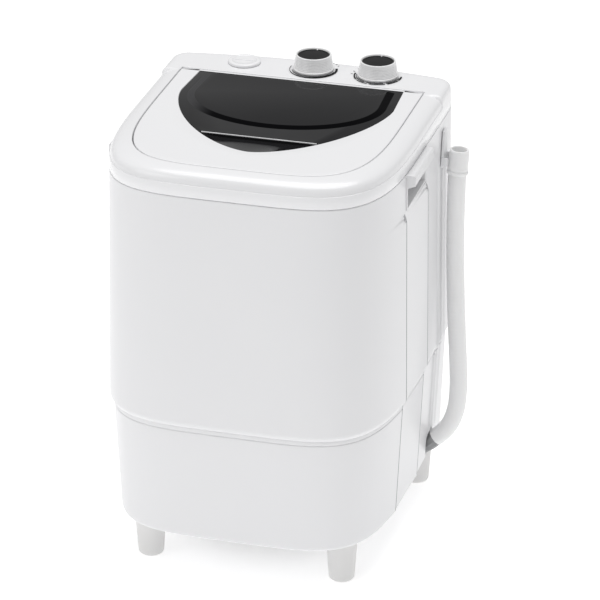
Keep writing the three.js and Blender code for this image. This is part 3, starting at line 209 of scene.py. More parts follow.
def extruded(name, outline, start, end, edge):
    """A counter-clockwise outline pushed upwards, with its two ends rounded off."""
    count = len(outline)
    shares = ((0, 1), (0.29, 0.29), (1, 0))
    levels = [(start + edge * rise, edge * inwards) for rise, inwards in shares]
    levels += [(end - edge * rise, edge * inwards) for rise, inwards in reversed(shares)]
    rings = []
    for z, inwards in levels:
        ring = []
        for i, p in enumerate(outline):
            along = outline[(i + 1) % count] - outline[i - 1]
            q = p - Vector((along.y, -along.x)).normalized() * inwards
            ring.append((q.x, q.y, z))
        rings.append(ring)
    return swept(name, rings)


def softened(name, node_name, width, segments=2):
    """A copy of a CAD node with its loose triangles merged and its edges rounded."""
    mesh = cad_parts[node_name].data.copy()
    mesh.materials.clear()
    bm = bmesh.new()
    bm.from_mesh(mesh)
    bmesh.ops.remove_doubles(bm, verts=bm.verts, dist=2e-6)
    bmesh.ops.dissolve_limit(bm, angle_limit=math.radians(1.5), verts=bm.verts, edges=bm.edges)
    sharp = [e for e in bm.edges if len(e.link_faces) == 2 and e.calc_face_angle(0) > math.radians(35)]
    bmesh.ops.bevel(bm, geom=sharp, offset=width, offset_type="OFFSET", segments=segments,
                    profile=0.5, affect="EDGES", clamp_overlap=True)
    bmesh.ops.triangulate(bm, faces=[f for f in bm.faces if len(f.verts) > 4])
    bmesh.ops.recalc_face_normals(bm, faces=bm.faces)
    bm.to_mesh(mesh)
    bm.free()
    obj = placed_object(name, mesh)
    soften(obj, 38)
    return obj


def made_plain(obj):
    """Works the object's modifiers into its mesh."""
    graph = bpy.context.evaluated_depsgraph_get()
    mesh = bpy.data.meshes.new_from_object(obj.evaluated_get(graph), depsgraph=graph)
    obj.modifiers.clear()
    obj.data = mesh
    soften(obj)


def carve(obj, *cutters):
    """Takes the cutters out of the object and removes them."""
    for cutter in cutters:
        change = obj.modifiers.new("cut", "BOOLEAN")
        change.operation = "DIFFERENCE"
        change.solver = "EXACT"
        change.object = cutter
    made_plain(obj)
    for cutter in cutters:
        bpy.data.objects.remove(cutter)


def merged(name, *objs):
    """One object that holds several closed bodies, each with its own finishes."""
    mesh = bpy.data.meshes.new(name)
    finishes = []
    for obj in objs:
        finishes += [m for m in obj.data.materials if m not in finishes]
    for finish in finishes:
        mesh.materials.append(finish)
    bm = bmesh.new()
    for obj in objs:
        start = len(bm.faces)
        bm.from_mesh(obj.data)
        bm.faces.ensure_lookup_table()
        for face in bm.faces[start:] if finishes else ():
            face.material_index = finishes.index(obj.data.materials[face.material_index])
    bm.to_mesh(mesh)
    bm.free()
    for obj in objs:
        bpy.data.objects.remove(obj)
    made = placed_object(name, mesh)
    soften(made)
    return made


def cylinder_between(name, a, b, radius, segments=32):
    """A plain round cutter between two points."""
    a, b = Vector(a), Vector(b)
    axis = (b - a).normalized()
    side = axis.orthogonal().normalized()
    return swept(name, [circle(p, side, axis.cross(side), radius, segments) for p in (a, b)])


def block(name, low, high):
    """A plain box, from its lowest corner to its highest."""
    (x0, y0, z0), (x1, y1, z1) = low, high
    return swept(name, [at_level(z, ((x0, y0), (x1, y0), (x1, y1), (x0, y1))) for z in (z0, z1)])


# ---------------------------------------------------------------- nodes
def wire(tree, source, target):
    tree.links.new(source, target)


def node(tree, kind, inputs=None, **settings):
    """A node with its settings; each input takes a value or another node's output."""
    made = tree.nodes.new(kind)
    for key, value in settings.items():
        setattr(made, key, value)
    for key, value in (inputs or {}).items():
        if isinstance(value, bpy.types.NodeSocket):
            wire(tree, value, made.inputs[key])
        else:
            made.inputs[key].default_value = value
    return made


def reckoned(tree, operation, *values):
    """The result of a sum on numbers and sockets."""
    return node(tree, "ShaderNodeMath", dict(enumerate(values)), operation=operation).outputs[0]


def ranged(tree, value, low, high, to_low=0.0, to_high=1.0, **settings):
    """A value brought from one range to another, and kept within it."""
    ends = {"Value": value, "From Min": low, "From Max": high, "To Min": to_low, "To Max": to_high}
    return node(tree, "ShaderNodeMapRange", ends, **settings).outputs["Result"]


def noise(tree, place, scale, **settings):
    return node(tree, "ShaderNodeTexNoise", {"Vector": place, "Scale": scale, **settings}).outputs["Fac"]


def blended(tree, factor, a, b):
    """A colour mix; a and b are sockets or colours."""
    ends = [end if isinstance(end, bpy.types.NodeSocket) else (*end, 1) for end in (a, b)]
    return node(tree, "ShaderNodeMix", {0: factor, 6: ends[0], 7: ends[1]}, data_type="RGBA").outputs[2]


def label_of(key):
    return key.replace("_", " ").capitalize()


# ---------------------------------------------------------------- effects shared by the finishes
def effect_group(name, outputs, **inputs):
    """A shader group that reads a place and named numbers, and puts out masks or heights."""
    tree = bpy.data.node_groups.new(name, "ShaderNodeTree")
    tree.interface.new_socket("Vector", in_out="INPUT", socket_type="NodeSocketVector")
    for key, value in inputs.items():
        socket = tree.interface.new_socket(label_of(key), in_out="INPUT", socket_type="NodeSocketFloat")
        socket.default_value = value
    for label in outputs:
        tree.interface.new_socket(label, in_out="OUTPUT", socket_type="NodeSocketFloat")
    return tree, tree.nodes.new("NodeGroupInput").outputs, tree.nodes.new("NodeGroupOutput").inputs


def moulded_grain():
    """Fine spark-eroded texture and slow flow marks of an injection moulding."""
    tree, given, out = effect_group("Moulded grain", ("Height", "Flow"), grain_scale=900.0, flow_scale=7.0,
                                    flow_share=0.3)
    fine = noise(tree, given["Vector"], given["Grain scale"], Detail=3)
    flow = noise(tree, given["Vector"], given["Flow scale"], Detail=2, Distortion=0.6)
    both = node(tree, "ShaderNodeMix", {0: given["Flow share"], 2: fine, 3: flow}, data_type="FLOAT")
    wire(tree, both.outputs[0], out["Height"])
    wire(tree, flow, out["Flow"])
    return tree


def edge_wear_and_crease_shade():
    """A mask of rubbed, slightly polished edges, broken up by noise, and a mask of creases for painted shade.
    """
    tree, given, out = effect_group("Edge wear and crease shade", ("Mask", "Crease shade"), reach=0.04, break_up_scale=60.0)
    bend = node(tree, "ShaderNodeNewGeometry").outputs["Pointiness"]
    wire(tree, ranged(tree, bend, 0.49, 0.42), out["Crease shade"])
    edge = ranged(tree, bend, 0.51, reckoned(tree, "ADD", 0.51, given["Reach"]))
    patches = noise(tree, given["Vector"], given["Break up scale"], Detail=4)
    wire(tree, reckoned(tree, "MULTIPLY", edge, patches), out["Mask"])
    return tree


def settled_dust():
    """A mask of dust on faces that look up, patchy, and thin elsewhere."""
    tree, given, out = effect_group("Settled dust", ("Mask",), amount=0.2, patch_scale=14.0)
    normal = node(tree, "ShaderNodeNewGeometry").outputs["Normal"]
    up = ranged(tree, node(tree, "ShaderNodeSeparateXYZ", {0: normal}).outputs["Z"], 0.2, 1.0, 0.15)
    patches = noise(tree, given["Vector"], given["Patch scale"], Detail=6, Roughness=0.7)
    lying = reckoned(tree, "MULTIPLY", up, patches)
    wire(tree, reckoned(tree, "MULTIPLY", lying, given["Amount"]), out["Mask"])
    return tree


def brushed_lines():
    """Long fine lines round or along a turned or rolled metal piece."""
    tree, given, out = effect_group("Brushed lines", ("Height",), line_scale=300.0)
    squeeze = {0: given["Vector"], 1: (0.04, 0.04, 1)}
    squeezed = node(tree, "ShaderNodeVectorMath", squeeze, operation="MULTIPLY")
    wire(tree, noise(tree, squeezed.outputs[0], given["Line scale"], Detail=4), out["Height"])
    return tree


GROUPS = {"grain": moulded_grain(), "wear": edge_wear_and_crease_shade(), "dust": settled_dust(), "brushed": brushed_lines()}


def effect(tree, group, place, **values):
    """The outputs of a shared effect, placed in a material with its own values."""
    inputs = {"Vector": place, **{label_of(key): value for key, value in values.items()}}
    return node(tree, "ShaderNodeGroup", inputs, node_tree=GROUPS[group]).outputs


# ---------------------------------------------------------------- finishes
BUMP_DEPTH = 0.05 * MM
DUST = (0.55, 0.54, 0.52)
# painted shade in creases: how much of it is laid on, and how dark it makes the colour
CREASE_SHADE_SHARE = 0.5
CREASE_SHADE_DARK = 0.45
WORN_LIGHT = 1.15


def finish_of(name, color, tint, roughness, grain=900, flow=7, bump=0.05, spread=0.06, dust=0.1, wear=0.3,
              worn=None, coat=0.0, metallic=0.0, ior=1.5, brushed=0, subsurface=0.0):
    """A finish with colour drift, grain or brushing, edge wear, painted shade in creases and dust. tint is the
    colour that the slow drift goes towards; worn is the colour of rubbed edges."""
    material = bpy.data.materials.new(name)
    material.use_nodes = True
    tree = material.node_tree
    shader = tree.nodes["Principled BSDF"].inputs
    place = node(tree, "ShaderNodeTexCoord").outputs["Object"]
    texture = effect(tree, "grain", place, grain_scale=grain, flow_scale=flow)
    # the wear effect gives the rubbed edges and the creases that get painted shade
    edges, dusty = effect(tree, "wear", place), effect(tree, "dust", place, amount=dust)
    look = blended(tree, texture["Flow"], color, tint)
    look = blended(tree, reckoned(tree, "MULTIPLY", edges["Mask"], wear), look,
                   worn or tuple(min(1, c * WORN_LIGHT) for c in color))
    # painted shade: the colour is darkened in creases, where shade would fall
    look = blended(tree, reckoned(tree, "MULTIPLY", edges["Crease shade"], CREASE_SHADE_SHARE), look,
                   tuple(c * CREASE_SHADE_DARK for c in color))
    wire(tree, blended(tree, dusty["Mask"], look, DUST), shader["Base Color"])
    dull = ranged(tree, texture["Flow"], 0, 1, max(0.02, roughness - spread), roughness + spread)
    wire(tree, reckoned(tree, "ADD", dull, dusty["Mask"]), shader["Roughness"])
    relief = effect(tree, "brushed", place, line_scale=brushed) if brushed else texture
    bumps = {"Strength": bump, "Distance": BUMP_DEPTH, "Height": relief["Height"]}
    wire(tree, node(tree, "ShaderNodeBump", bumps).outputs["Normal"], shader["Normal"])
    constants = {"Metallic": metallic, "IOR": ior, "Coat Weight": coat, "Coat Roughness": 0.08}
    if subsurface:
        constants.update({"Subsurface Weight": subsurface, "Subsurface Radius": (0.004, 0.0038, 0.0036),
                          "Subsurface Scale": 1.0})
    for key, value in constants.items():
        shader[key].default_value = value
    return material


FINISHES = {}


def finish(key, *look, **settings):
    FINISHES[key] = finish_of(*look, **settings)


finish("housing", "Moulded white housing", (0.80, 0.80, 0.81), (0.785, 0.785, 0.80), 0.34, bump=0.12,
        dust=0.03, coat=0.15)
# painted shade: a dark grey finish that stands for the shade in the lines behind the side panels' edges
finish("groove", "Shaded line", (0.42, 0.42, 0.435), (0.38, 0.38, 0.395), 0.5, bump=0.12)
finish("trim", "Polished white top", (0.83, 0.83, 0.84), (0.815, 0.815, 0.83), 0.22, grain=1200,
        dust=0.03, coat=0.3)
finish("handle", "White grip", (0.78, 0.78, 0.79), (0.76, 0.76, 0.77), 0.38, grain=700, bump=0.2, dust=0.05)
finish("leg", "White leg", (0.76, 0.755, 0.75), (0.73, 0.725, 0.72), 0.45, grain=600, bump=0.2, wear=0.5)
finish("window", "Smoked window", (0.012, 0.012, 0.013), (0.010, 0.010, 0.011), 0.07, grain=2000,
        bump=0.01, spread=0.02, dust=0.004, wear=0.1, worn=(0.1, 0.1, 0.1), ior=1.22)
finish("bevel", "Smoked bevel", (0.003, 0.003, 0.0035), (0.002, 0.002, 0.0025), 0.12, grain=2000,
        bump=0.01, spread=0.03, dust=0.0, wear=0.0, ior=1.06)
# painted highlight: a near-white finish for the thin line along the scoop's edge, where light catches it
finish("line", "Scoop edge line", (0.95, 0.95, 0.96), (0.9, 0.9, 0.92), 0.2, bump=0.02, dust=0.0, coat=0.5)
finish("knob", "Knob white", (0.86, 0.86, 0.865), (0.84, 0.84, 0.845), 0.25, grain=1100, bump=0.06,
        dust=0.03, coat=0.4)
finish("black", "Control black", (0.006, 0.006, 0.0065), (0.009, 0.009, 0.0095), 0.38, grain=1500,
        bump=0.15, dust=0.01, wear=0.2, worn=(0.05, 0.05, 0.05), ior=1.2)
finish("print", "Printed black", (0.006, 0.006, 0.007), (0.009, 0.009, 0.010), 0.5, grain=1500, bump=0.1,
        dust=0.01, wear=0.0, ior=1.2)
finish("inner", "Inner grey plastic", (0.28, 0.285, 0.29), (0.23, 0.235, 0.24), 0.5, grain=500, bump=0.3,
        dust=0.4)
finish("tub", "Wash tub", (0.66, 0.69, 0.72), (0.60, 0.64, 0.68), 0.3, grain=500, bump=0.15, dust=0.12,
        coat=0.2)
finish("pulsator", "Pulsator", (0.55, 0.60, 0.66), (0.48, 0.54, 0.60), 0.28, grain=700, bump=0.12,
        wear=0.6, coat=0.2)
finish("steel", "Turned steel", (0.58, 0.58, 0.59), (0.46, 0.46, 0.47), 0.28, metallic=1.0, brushed=900,
        bump=0.3, wear=0.5)
finish("rubber", "Black rubber", (0.022, 0.022, 0.023), (0.035, 0.034, 0.033), 0.75, grain=400, bump=0.5,
        dust=0.3)
finish("zinc", "Zinc plated sheet", (0.48, 0.49, 0.50), (0.36, 0.37, 0.39), 0.42, metallic=0.9, grain=90,
        flow=40, bump=0.2, dust=0.3, spread=0.12)
finish("motor", "Motor enamel", (0.045, 0.052, 0.058), (0.07, 0.078, 0.085), 0.4, metallic=0.3, grain=300,
        bump=0.3, dust=0.4, wear=0.8, worn=(0.35, 0.35, 0.36))
finish("pulley", "Cast pulley", (0.42, 0.42, 0.42), (0.33, 0.33, 0.335), 0.4, metallic=0.9, brushed=500,
        bump=0.4, dust=0.25, wear=0.7, worn=(0.7, 0.7, 0.7))
finish("hose", "Drain hose", (0.86, 0.86, 0.86), (0.84, 0.84, 0.84), 0.36, grain=350, bump=0.12,
        dust=0.02, flow=12, subsurface=0.15)


def paint_band_reflection(material):
    """Paints a reflection into the band: lighter towards its left end, by its place on the pane."""
    tree = material.node_tree
    place = node(tree, "ShaderNodeSeparateXYZ", {0: node(tree, "ShaderNodeTexCoord").outputs["Object"]})
    side = ranged(tree, place.outputs["X"], -0.07, -0.115, interpolation_type="SMOOTHSTEP")
    socket = tree.nodes["Principled BSDF"].inputs["Base Color"]
    # painted reflection: the band's colour rises to a dark grey towards its left end
    wire(tree, blended(tree, side, socket.links[0].from_socket, (0.05, 0.05, 0.052)), socket)


paint_band_reflection(FINISHES["bevel"])


def finish_mesh(obj, *names):
    obj.data.materials.clear()
    for name in names:
        obj.data.materials.append(FINISHES[name])


def dress(obj, finish, body, nodes=()):
    """Gives a piece its finish and body, and hides the CAD nodes that it stands for."""
    if finish:
        finish_mesh(obj, finish)
    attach(obj, body)
    if nodes:
        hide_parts(*nodes)
    return obj


# ---------------------------------------------------------------- drain hose
HOSE_POINTS = [
    (0.183, 0.104, 0.088),
    (0.1876, 0.1042, 0.092),
    (0.192, 0.1044, 0.0963),
    (0.1961, 0.1047, 0.1014),
    (0.1998, 0.105, 0.1072),
    (0.203, 0.1054, 0.1138),
    (0.2056, 0.1059, 0.1212),
    (0.2077, 0.1064, 0.1296),
    (0.2091, 0.1069, 0.139),
    (0.2099, 0.1075, 0.15),
    (0.21, 0.1082, 0.163),
    (0.2095, 0.109, 0.178),
    (0.2084, 0.11, 0.197),
    (0.2068, 0.1112, 0.22),
    (0.2048, 0.1127, 0.248),
    (0.2028, 0.1142, 0.28),
    (0.2011, 0.1157, 0.315),
    (0.1999, 0.117, 0.35),
    (0.1993, 0.118, 0.385),
    (0.1993, 0.1187, 0.42),
    (0.1998, 0.1192, 0.445),
]
HOSE_RADIUS = 11.3 * MM
HOSE_STEP = 0.65 * MM
RIB_PITCH = 5.2 * MM
RIB_HEIGHT = 0.1 * MM
PLAIN_END = 12 * MM  # the ribs fade out over this length at each end
CUFF_TILT = Vector((0.06, 0.04, 1)).normalized()
# radius and distance along the cuff, in millimetres: its outside, its mouth and its bore
CUFF_PROFILE = [
    (0.001, 0), (12.4, 0), (13.2, 0.5), (13.6, 1.4), (13.6, 3.4), (13.2, 4.2), (12.7, 4.6), (12.7, 6.2),
    (12.95, 6.7), (12.95, 8.0), (12.7, 8.5), (12.6, 12), (12.35, 20), (12.1, 28), (12.0, 30.6), (11.7, 31.6),
    (11.2, 32), (10.2, 32), (9.7, 31.8), (9.4, 31.2), (9.4, 12), (0.001, 12),
]


def smooth_line(points, step):
    """Points about a step apart on a smooth line through the given ones, and the line's length."""
    pts = [Vector(p) for p in points]
    pts = [2 * pts[0] - pts[1], *pts, 2 * pts[-1] - pts[-2]]
    dense = []
    for a, b, c, d in zip(pts, pts[1:], pts[2:], pts[3:]):
        for t in (k / 12 for k in range(12)):
            dense.append(0.5 * (2 * b + (c - a) * t + (2 * a - 5 * b + 4 * c - d) * t * t
                                + (3 * b - a - 3 * c + d) * t ** 3))
    dense.append(pts[-2])
    lengths = np.cumsum([0] + [(q - p).length for p, q in zip(dense, dense[1:])])
    marks = np.linspace(0, lengths[-1], max(2, round(lengths[-1] / step)) + 1)
    co = np.array([tuple(p) for p in dense])
    line = [Vector([float(np.interp(m, lengths, co[:, i])) for i in range(3)]) for m in marks]
    return line, float(lengths[-1])


def tube_rings(line, radii, segments):
    """Rings square to a line, turned as little as possible from one to the next."""
    rings = []
    side = None
    for i, p in enumerate(line):
        axis = (line[min(i + 1, len(line) - 1)] - line[max(i - 1, 0)]).normalized()
        side = axis.orthogonal() if side is None else side - axis * side.dot(axis)
        side.normalize()
        rings.append(circle(p, side, axis.cross(side), radii[i], segments))
    return rings


def make_hose():
    line, length = smooth_line(HOSE_POINTS, HOSE_STEP)
    radii = []
    for i in range(len(line)):
        along = length * i / (len(line) - 1)
        rib = 0.5 - 0.5 * math.cos(TAU * along / RIB_PITCH)
        fade = min(smooth_step(0, PLAIN_END, along), smooth_step(0, PLAIN_END, length - along))
        radii.append(HOSE_RADIUS - RIB_HEIGHT * rib * fade)
    hose = dress(swept("drain_hose_tube", tube_rings(line, radii, 40), 60), "hose", "root",
                 ["drain_hose"])
    start = Vector(HOSE_POINTS[-1]) + CUFF_TILT * 2 * GAP
    side = CUFF_TILT.orthogonal().normalized()
    rings = [circle(start + CUFF_TILT * along * MM, side, CUFF_TILT.cross(side), radius * MM, 64)
             for radius, along in CUFF_PROFILE]
    cuff = dress(swept("drain_hose_cuff", rings, 50), "hose", "root", ["hose_cuff"])


make_hose()


# ---------------------------------------------------------------- plan outlines
SIDE_FRONT = -150 * MM  # where the side's stations hand over to the front's
FRONT_COUNT = 111
CORNER_STEPS = 8
REAR_STEPS = 24
MIN_CORNER = 4 * MM


def wall_at(y, inset):
    """Distance of the side wall from the middle, at that depth."""
    a = HALF - inset
    if y > PLAN_CENTRE:
        return a
    share = ((PLAN_CENTRE - y) / (FRONT_DEPTH - inset)) ** FRONT_POWER
    return a * max(0.0, 1 - share) ** (1 / FRONT_POWER)


def evenly(x, y, count):
    """Marks evenly spaced along a dense curve, and the run at each of its points."""
    run = np.concatenate(([0], np.cumsum(np.hypot(np.diff(x), np.diff(y)))))
    return np.linspace(0, run[-1], count), run


def arc_shares():
    """Shares of the front angle that are evenly spaced along the curve."""
    first = math.asin(((PLAN_CENTRE - SIDE_FRONT) / FRONT_DEPTH) ** (FRONT_POWER / 2))
    angles = np.linspace(first, math.pi - first, 4001)
    c, s = np.cos(angles), np.sin(angles)
    x, y = -np.sign(c) * HALF * np.abs(c) ** (2 / FRONT_POWER), -FRONT_DEPTH * s ** (2 / FRONT_POWER)
    marks, run = evenly(x, y, FRONT_COUNT)
    return [(float(np.interp(m, run, angles)) - first) / (math.pi - 2 * first) for m in marks]


FRONT_SHARES = arc_shares()


def front_points(inset):
    """Left to right round the front."""
    a, b = HALF - inset, FRONT_DEPTH - inset
    start = math.asin(min(1, (PLAN_CENTRE - SIDE_FRONT) / b) ** (FRONT_POWER / 2))
    points = []
    for angle in (start + (math.pi - 2 * start) * share for share in FRONT_SHARES):
        c = math.cos(angle)
        points.append((-math.copysign(a * abs(c) ** (2 / FRONT_POWER), c),
                       PLAN_CENTRE - b * math.sin(angle) ** (2 / FRONT_POWER)))
    return points


def levels(*spans):
    """Places between bounds, each span (from, to, longest step)."""
    made = []
    for low, high, step in spans:
        count = max(1, math.ceil(abs(high - low) / step - 1e-6))
        made += [low + (high - low) * k / count for k in range(count)]
    return made + [spans[-1][1]]


def side_stations():
    """Depths of the points along a side: close at the panels' edges, the channel and the flutes, and with one
    at each end of the handle."""
    places = []
    for low, high, step in ((-149, -64, 8), (-64, -54, 0.75), (-54, 36, 7.5), (36, 46, 0.75), (46, 66, 7),
                            (66, 88, 4), (88, 152, 1.6), (152, (REAR - REAR_CORNER) / MM, 5)):
        count = max(1, round((high - low) / step))
        places += [(low + (high - low) * k / count) * MM for k in range(count)]
    clear = {round(y, 5) for y in places if min(abs(y - end) for end in HANDLE_SPAN) > 0.6 * MM}
    return sorted(clear | set(HANDLE_SPAN))


HANDLE_SPAN = (HANDLE[0].y - GAP, HANDLE[1].y + GAP)
SIDE_Y = side_stations()
LID_SIDE_Y = [y for y in SIDE_Y if y < LID_REAR - 1 * MM]
REAR_COUNT = 2 * (len(SIDE_Y) - len(LID_SIDE_Y)) + 2 * (CORNER_STEPS + 1) + REAR_STEPS - 1


def mirrored(points):
    return [(-x, y) for x, y in reversed(points)]


def body_ring(inset, rear_inset=None, bow=0.0):
    """Counter-clockwise outline of the body: front, right side, rear, left side."""
    rear = REAR - (inset if rear_inset is None else rear_inset)
    corner = max(REAR_CORNER - inset, MIN_CORNER)
    a, half = HALF - inset, HALF - inset - corner
    right = [(wall_at(min(y, rear - corner), inset), min(y, rear - corner)) for y in SIDE_Y]
    arc = [(a - corner + corner * math.cos(t), rear - corner + corner * math.sin(t))
           for t in (math.pi / 2 * k / CORNER_STEPS for k in range(CORNER_STEPS + 1))]
    across = (1 - 2 * k / REAR_STEPS for k in range(1, REAR_STEPS))
    back = [(half * u, rear + bow * (1 - u * u)) for u in across]
    return front_points(inset) + right + arc + back + mirrored(arc) + mirrored(right)


def even_ring(z, inset, bow=0.0):
    """The body's outline at a level, with the same inset all round."""
    return at_level(z, body_ring(inset, None, bow))


def well_ring(z, inset, rear):
    """The same stations on an outline with a straight rear edge, such as the lid's."""
    a = HALF - inset
    right = [(wall_at(min(y, rear), inset), min(y, rear)) for y in LID_SIDE_Y]
    edge = [(a * (1 - 2 * k / (REAR_COUNT - 1)), rear) for k in range(REAR_COUNT)]
    return at_level(z, front_points(inset) + right + edge + mirrored(right))


# ---------------------------------------------------------------- relief of the side walls
STEP_RISE = 2.2 * MM
STEP_SPANS = ((-140 * MM, -62 * MM), (-62 * MM, 38 * MM))
STEP_TOP = RIM - 51 * MM
STEP_CORNER = 12 * MM
STEP_EDGE = 1.2 * MM
GROOVE = 6 * MM  # the shaded line behind each panel's rear edge
GROOVE_DEPTH = 2.4 * MM
# middle, half width and height of the channel and of the two flutes behind it
FLUTES = (
    (REAR - 87 * MM, 6.5 * MM, -2.0 * MM),
    (REAR - 71 * MM, 7.5 * MM, 1.5 * MM),
    (REAR - 52 * MM, 9 * MM, 1.5 * MM),
)
FLUTE_TOP = RIM - 44 * MM
FLUTE_LOW = FLOOR + 22 * MM


def past_corner(y, z, rear):
    """How far a place lies past the start of a panel's rounded rear corner, in depth and in height."""
    return max(y - (rear - STEP_CORNER), 0), max(z - (STEP_TOP - STEP_CORNER), 0)


def behind_panel(y, z, rear):
    """Share of the groove's width at which a place lies behind a panel's edge."""
    over = past_corner(y, z, rear)
    return ((math.hypot(*over) if all(over) else over[0]) - STEP_CORNER) / GROOVE


def side_relief(y, z):
    """How far the side wall stands out at a place: two shingled panels, a channel and two flutes."""
    out = 0.0
    for front, rear in STEP_SPANS:
        if front < y < rear and z <= STEP_TOP:
            over = past_corner(y, z, rear)
            inside = STEP_CORNER - math.hypot(*over) if all(over) else min(rear - y, STEP_TOP - z)
            out = STEP_RISE * ((y - front) / (rear - front)) ** 2 * smooth_step(0, STEP_EDGE, inside)
    for _, rear in STEP_SPANS:
        beyond = behind_panel(y, z, rear)
        if y > rear - STEP_CORNER and z < STEP_TOP + GROOVE and 0 <= beyond < 1:
            out -= GROOVE_DEPTH * (1 - beyond) * smooth_step(0, 0.12, beyond)
    for middle, half, height in FLUTES:
        off = abs(y - middle) / half
        if off < 1:
            ends = min(smooth_step(0, 2 * half, FLUTE_TOP - z), smooth_step(0, 2 * half, z - FLUTE_LOW))
            out += height * ends * (0.5 + 0.5 * math.cos(math.pi * off))
    return out


def in_groove(y, z):
    """Whether a place on the side wall lies in the shaded line behind a panel's edge."""
    return z < STEP_TOP + GROOVE and any(
        y > rear - STEP_CORNER + 1 * MM and -0.3 < behind_panel(y, z, rear) < 0.75 for _, rear in STEP_SPANS)


def paint_shade_lines(obj):
    """Gives the faces in the shaded lines a dark finish: painted shade behind each panel's edge."""
    obj.data.materials.append(FINISHES["groove"])
    for face in obj.data.polygons:
        x, y, z = face.center
        if abs(x) > HALF - 16 * MM and abs(face.normal.x) > 0.2 and in_groove(y, z):
            face.material_index = 1


def relief_ring(z, inset, rear_inset):
    """The body's outline at a level, with the side relief added where it faces sideways."""
    made = []
    for x, y in body_ring(inset, rear_inset):
        sideways = abs(x) > HALF - 14 * MM and y < REAR - REAR_CORNER
        made.append((x + math.copysign(side_relief(y, z) if sideways else 0.0, x), y, z))
    return made


def walled(name, outer, inner, is_open):
    """A wall between an outer and an inner skin of rings, open at the cells that is_open names."""
    rows, count = len(outer), len(outer[0])
    shift = rows * count
    present = [[not is_open(i, k) for i in range(count)] for k in range(rows - 1)]
    faces = []
    for k in range(rows - 1):
        for i in (i for i in range(count) if present[k][i]):
            j = (i + 1) % count
            a, b, c, d = k * count + i, k * count + j, (k + 1) * count + j, (k + 1) * count + i
            faces += [(a, b, c, d), (d + shift, c + shift, b + shift, a + shift)]
            below, above = k > 0 and present[k - 1][i], k < rows - 2 and present[k + 1][i]
            sides = ((below, b, a), (above, d, c), (present[k][i - 1], a, d), (present[k][j], c, b))
            faces += [(p, q, q + shift, p + shift) for shut, p, q in sides if not shut]
    return new_object(name, [p for ring in outer + inner for p in ring], faces)


# ---------------------------------------------------------------- upper housing
DRAFT = 4.2 * MM
TUCK, TUCK_HEIGHT = 2.8 * MM, 8 * MM
TOP_ROUND, TOP_ROUND_HEIGHT = 0.7 * MM, 1.2 * MM
PANEL_LAP = 12 * MM


def housing_inset(z):
    """Draft of the housing, with the curve that tucks its lower edge in and a small round at the top."""
    low, high = HOUSING[0].z, HOUSING[1].z
    fall = max(0.0, (low + TUCK_HEIGHT - z) / TUCK_HEIGHT)
    rise = max(0.0, (z - (high - TOP_ROUND_HEIGHT)) / TOP_ROUND_HEIGHT)
    return TUCK * fall ** 2.2 - DRAFT * (high - z) / (high - low) + TOP_ROUND * rise ** 2


def make_housing():
    low, high = HOUSING[0].z, HOUSING[1].z
    handle_low = HANDLE[0].z - GAP
    panel_low, panel_high = PANEL[0].z + PANEL_LAP, PANEL[1].z - PANEL_LAP
    heights = levels((low, low + 9 * MM, 0.8 * MM), (low + 9 * MM, panel_low, 9 * MM),
                     (panel_low, panel_high, 12 * MM), (panel_high, handle_low, 1.1 * MM),
                     (handle_low, high - 1.6 * MM, 4 * MM), (high - 1.6 * MM, high, 0.4 * MM))
    outer = [relief_ring(z, housing_inset(z), 0.0) for z in heights]
    inner = [at_level(z, body_ring(housing_inset(z) + WALL, WALL)) for z in heights]

    def is_open(i, k):
        """The handles' openings and the one that the rear panel covers."""
        z = (heights[k] + heights[k + 1]) / 2
        x, y, _ = (Vector(outer[k][i]) + Vector(outer[k][(i + 1) % len(outer[k])])) / 2
        if abs(x) > HALF - 20 * MM and HANDLE_SPAN[0] < y < HANDLE_SPAN[1]:
            return z > handle_low
        return y > REAR - 2 * MM and abs(x) < PANEL[1].x - PANEL_LAP and panel_low < z < panel_high

    shell = walled("housing_shell", outer, inner, is_open)
    dress(shell, "housing", "root", ["upper_housing"])
    paint_shade_lines(shell)


make_housing()


# ---------------------------------------------------------------- base
BASE_TAPER = 7 * MM
BASE_BACK = 3 * MM  # how far its rear stands forward of the housing's
BASE_ROUND = 5.5 * MM
BASE_STEPS = 8
SCORE = 6.5 * MM  # depth of the fine score line under the seam
OUTLET_BORE = 14.5 * MM
GLAND_BORE = 5.8 * MM


def base_inset(z):
    high = SEAM - GAP
    return 0.2 * MM + BASE_TAPER * (high - z) / (high - FLOOR)


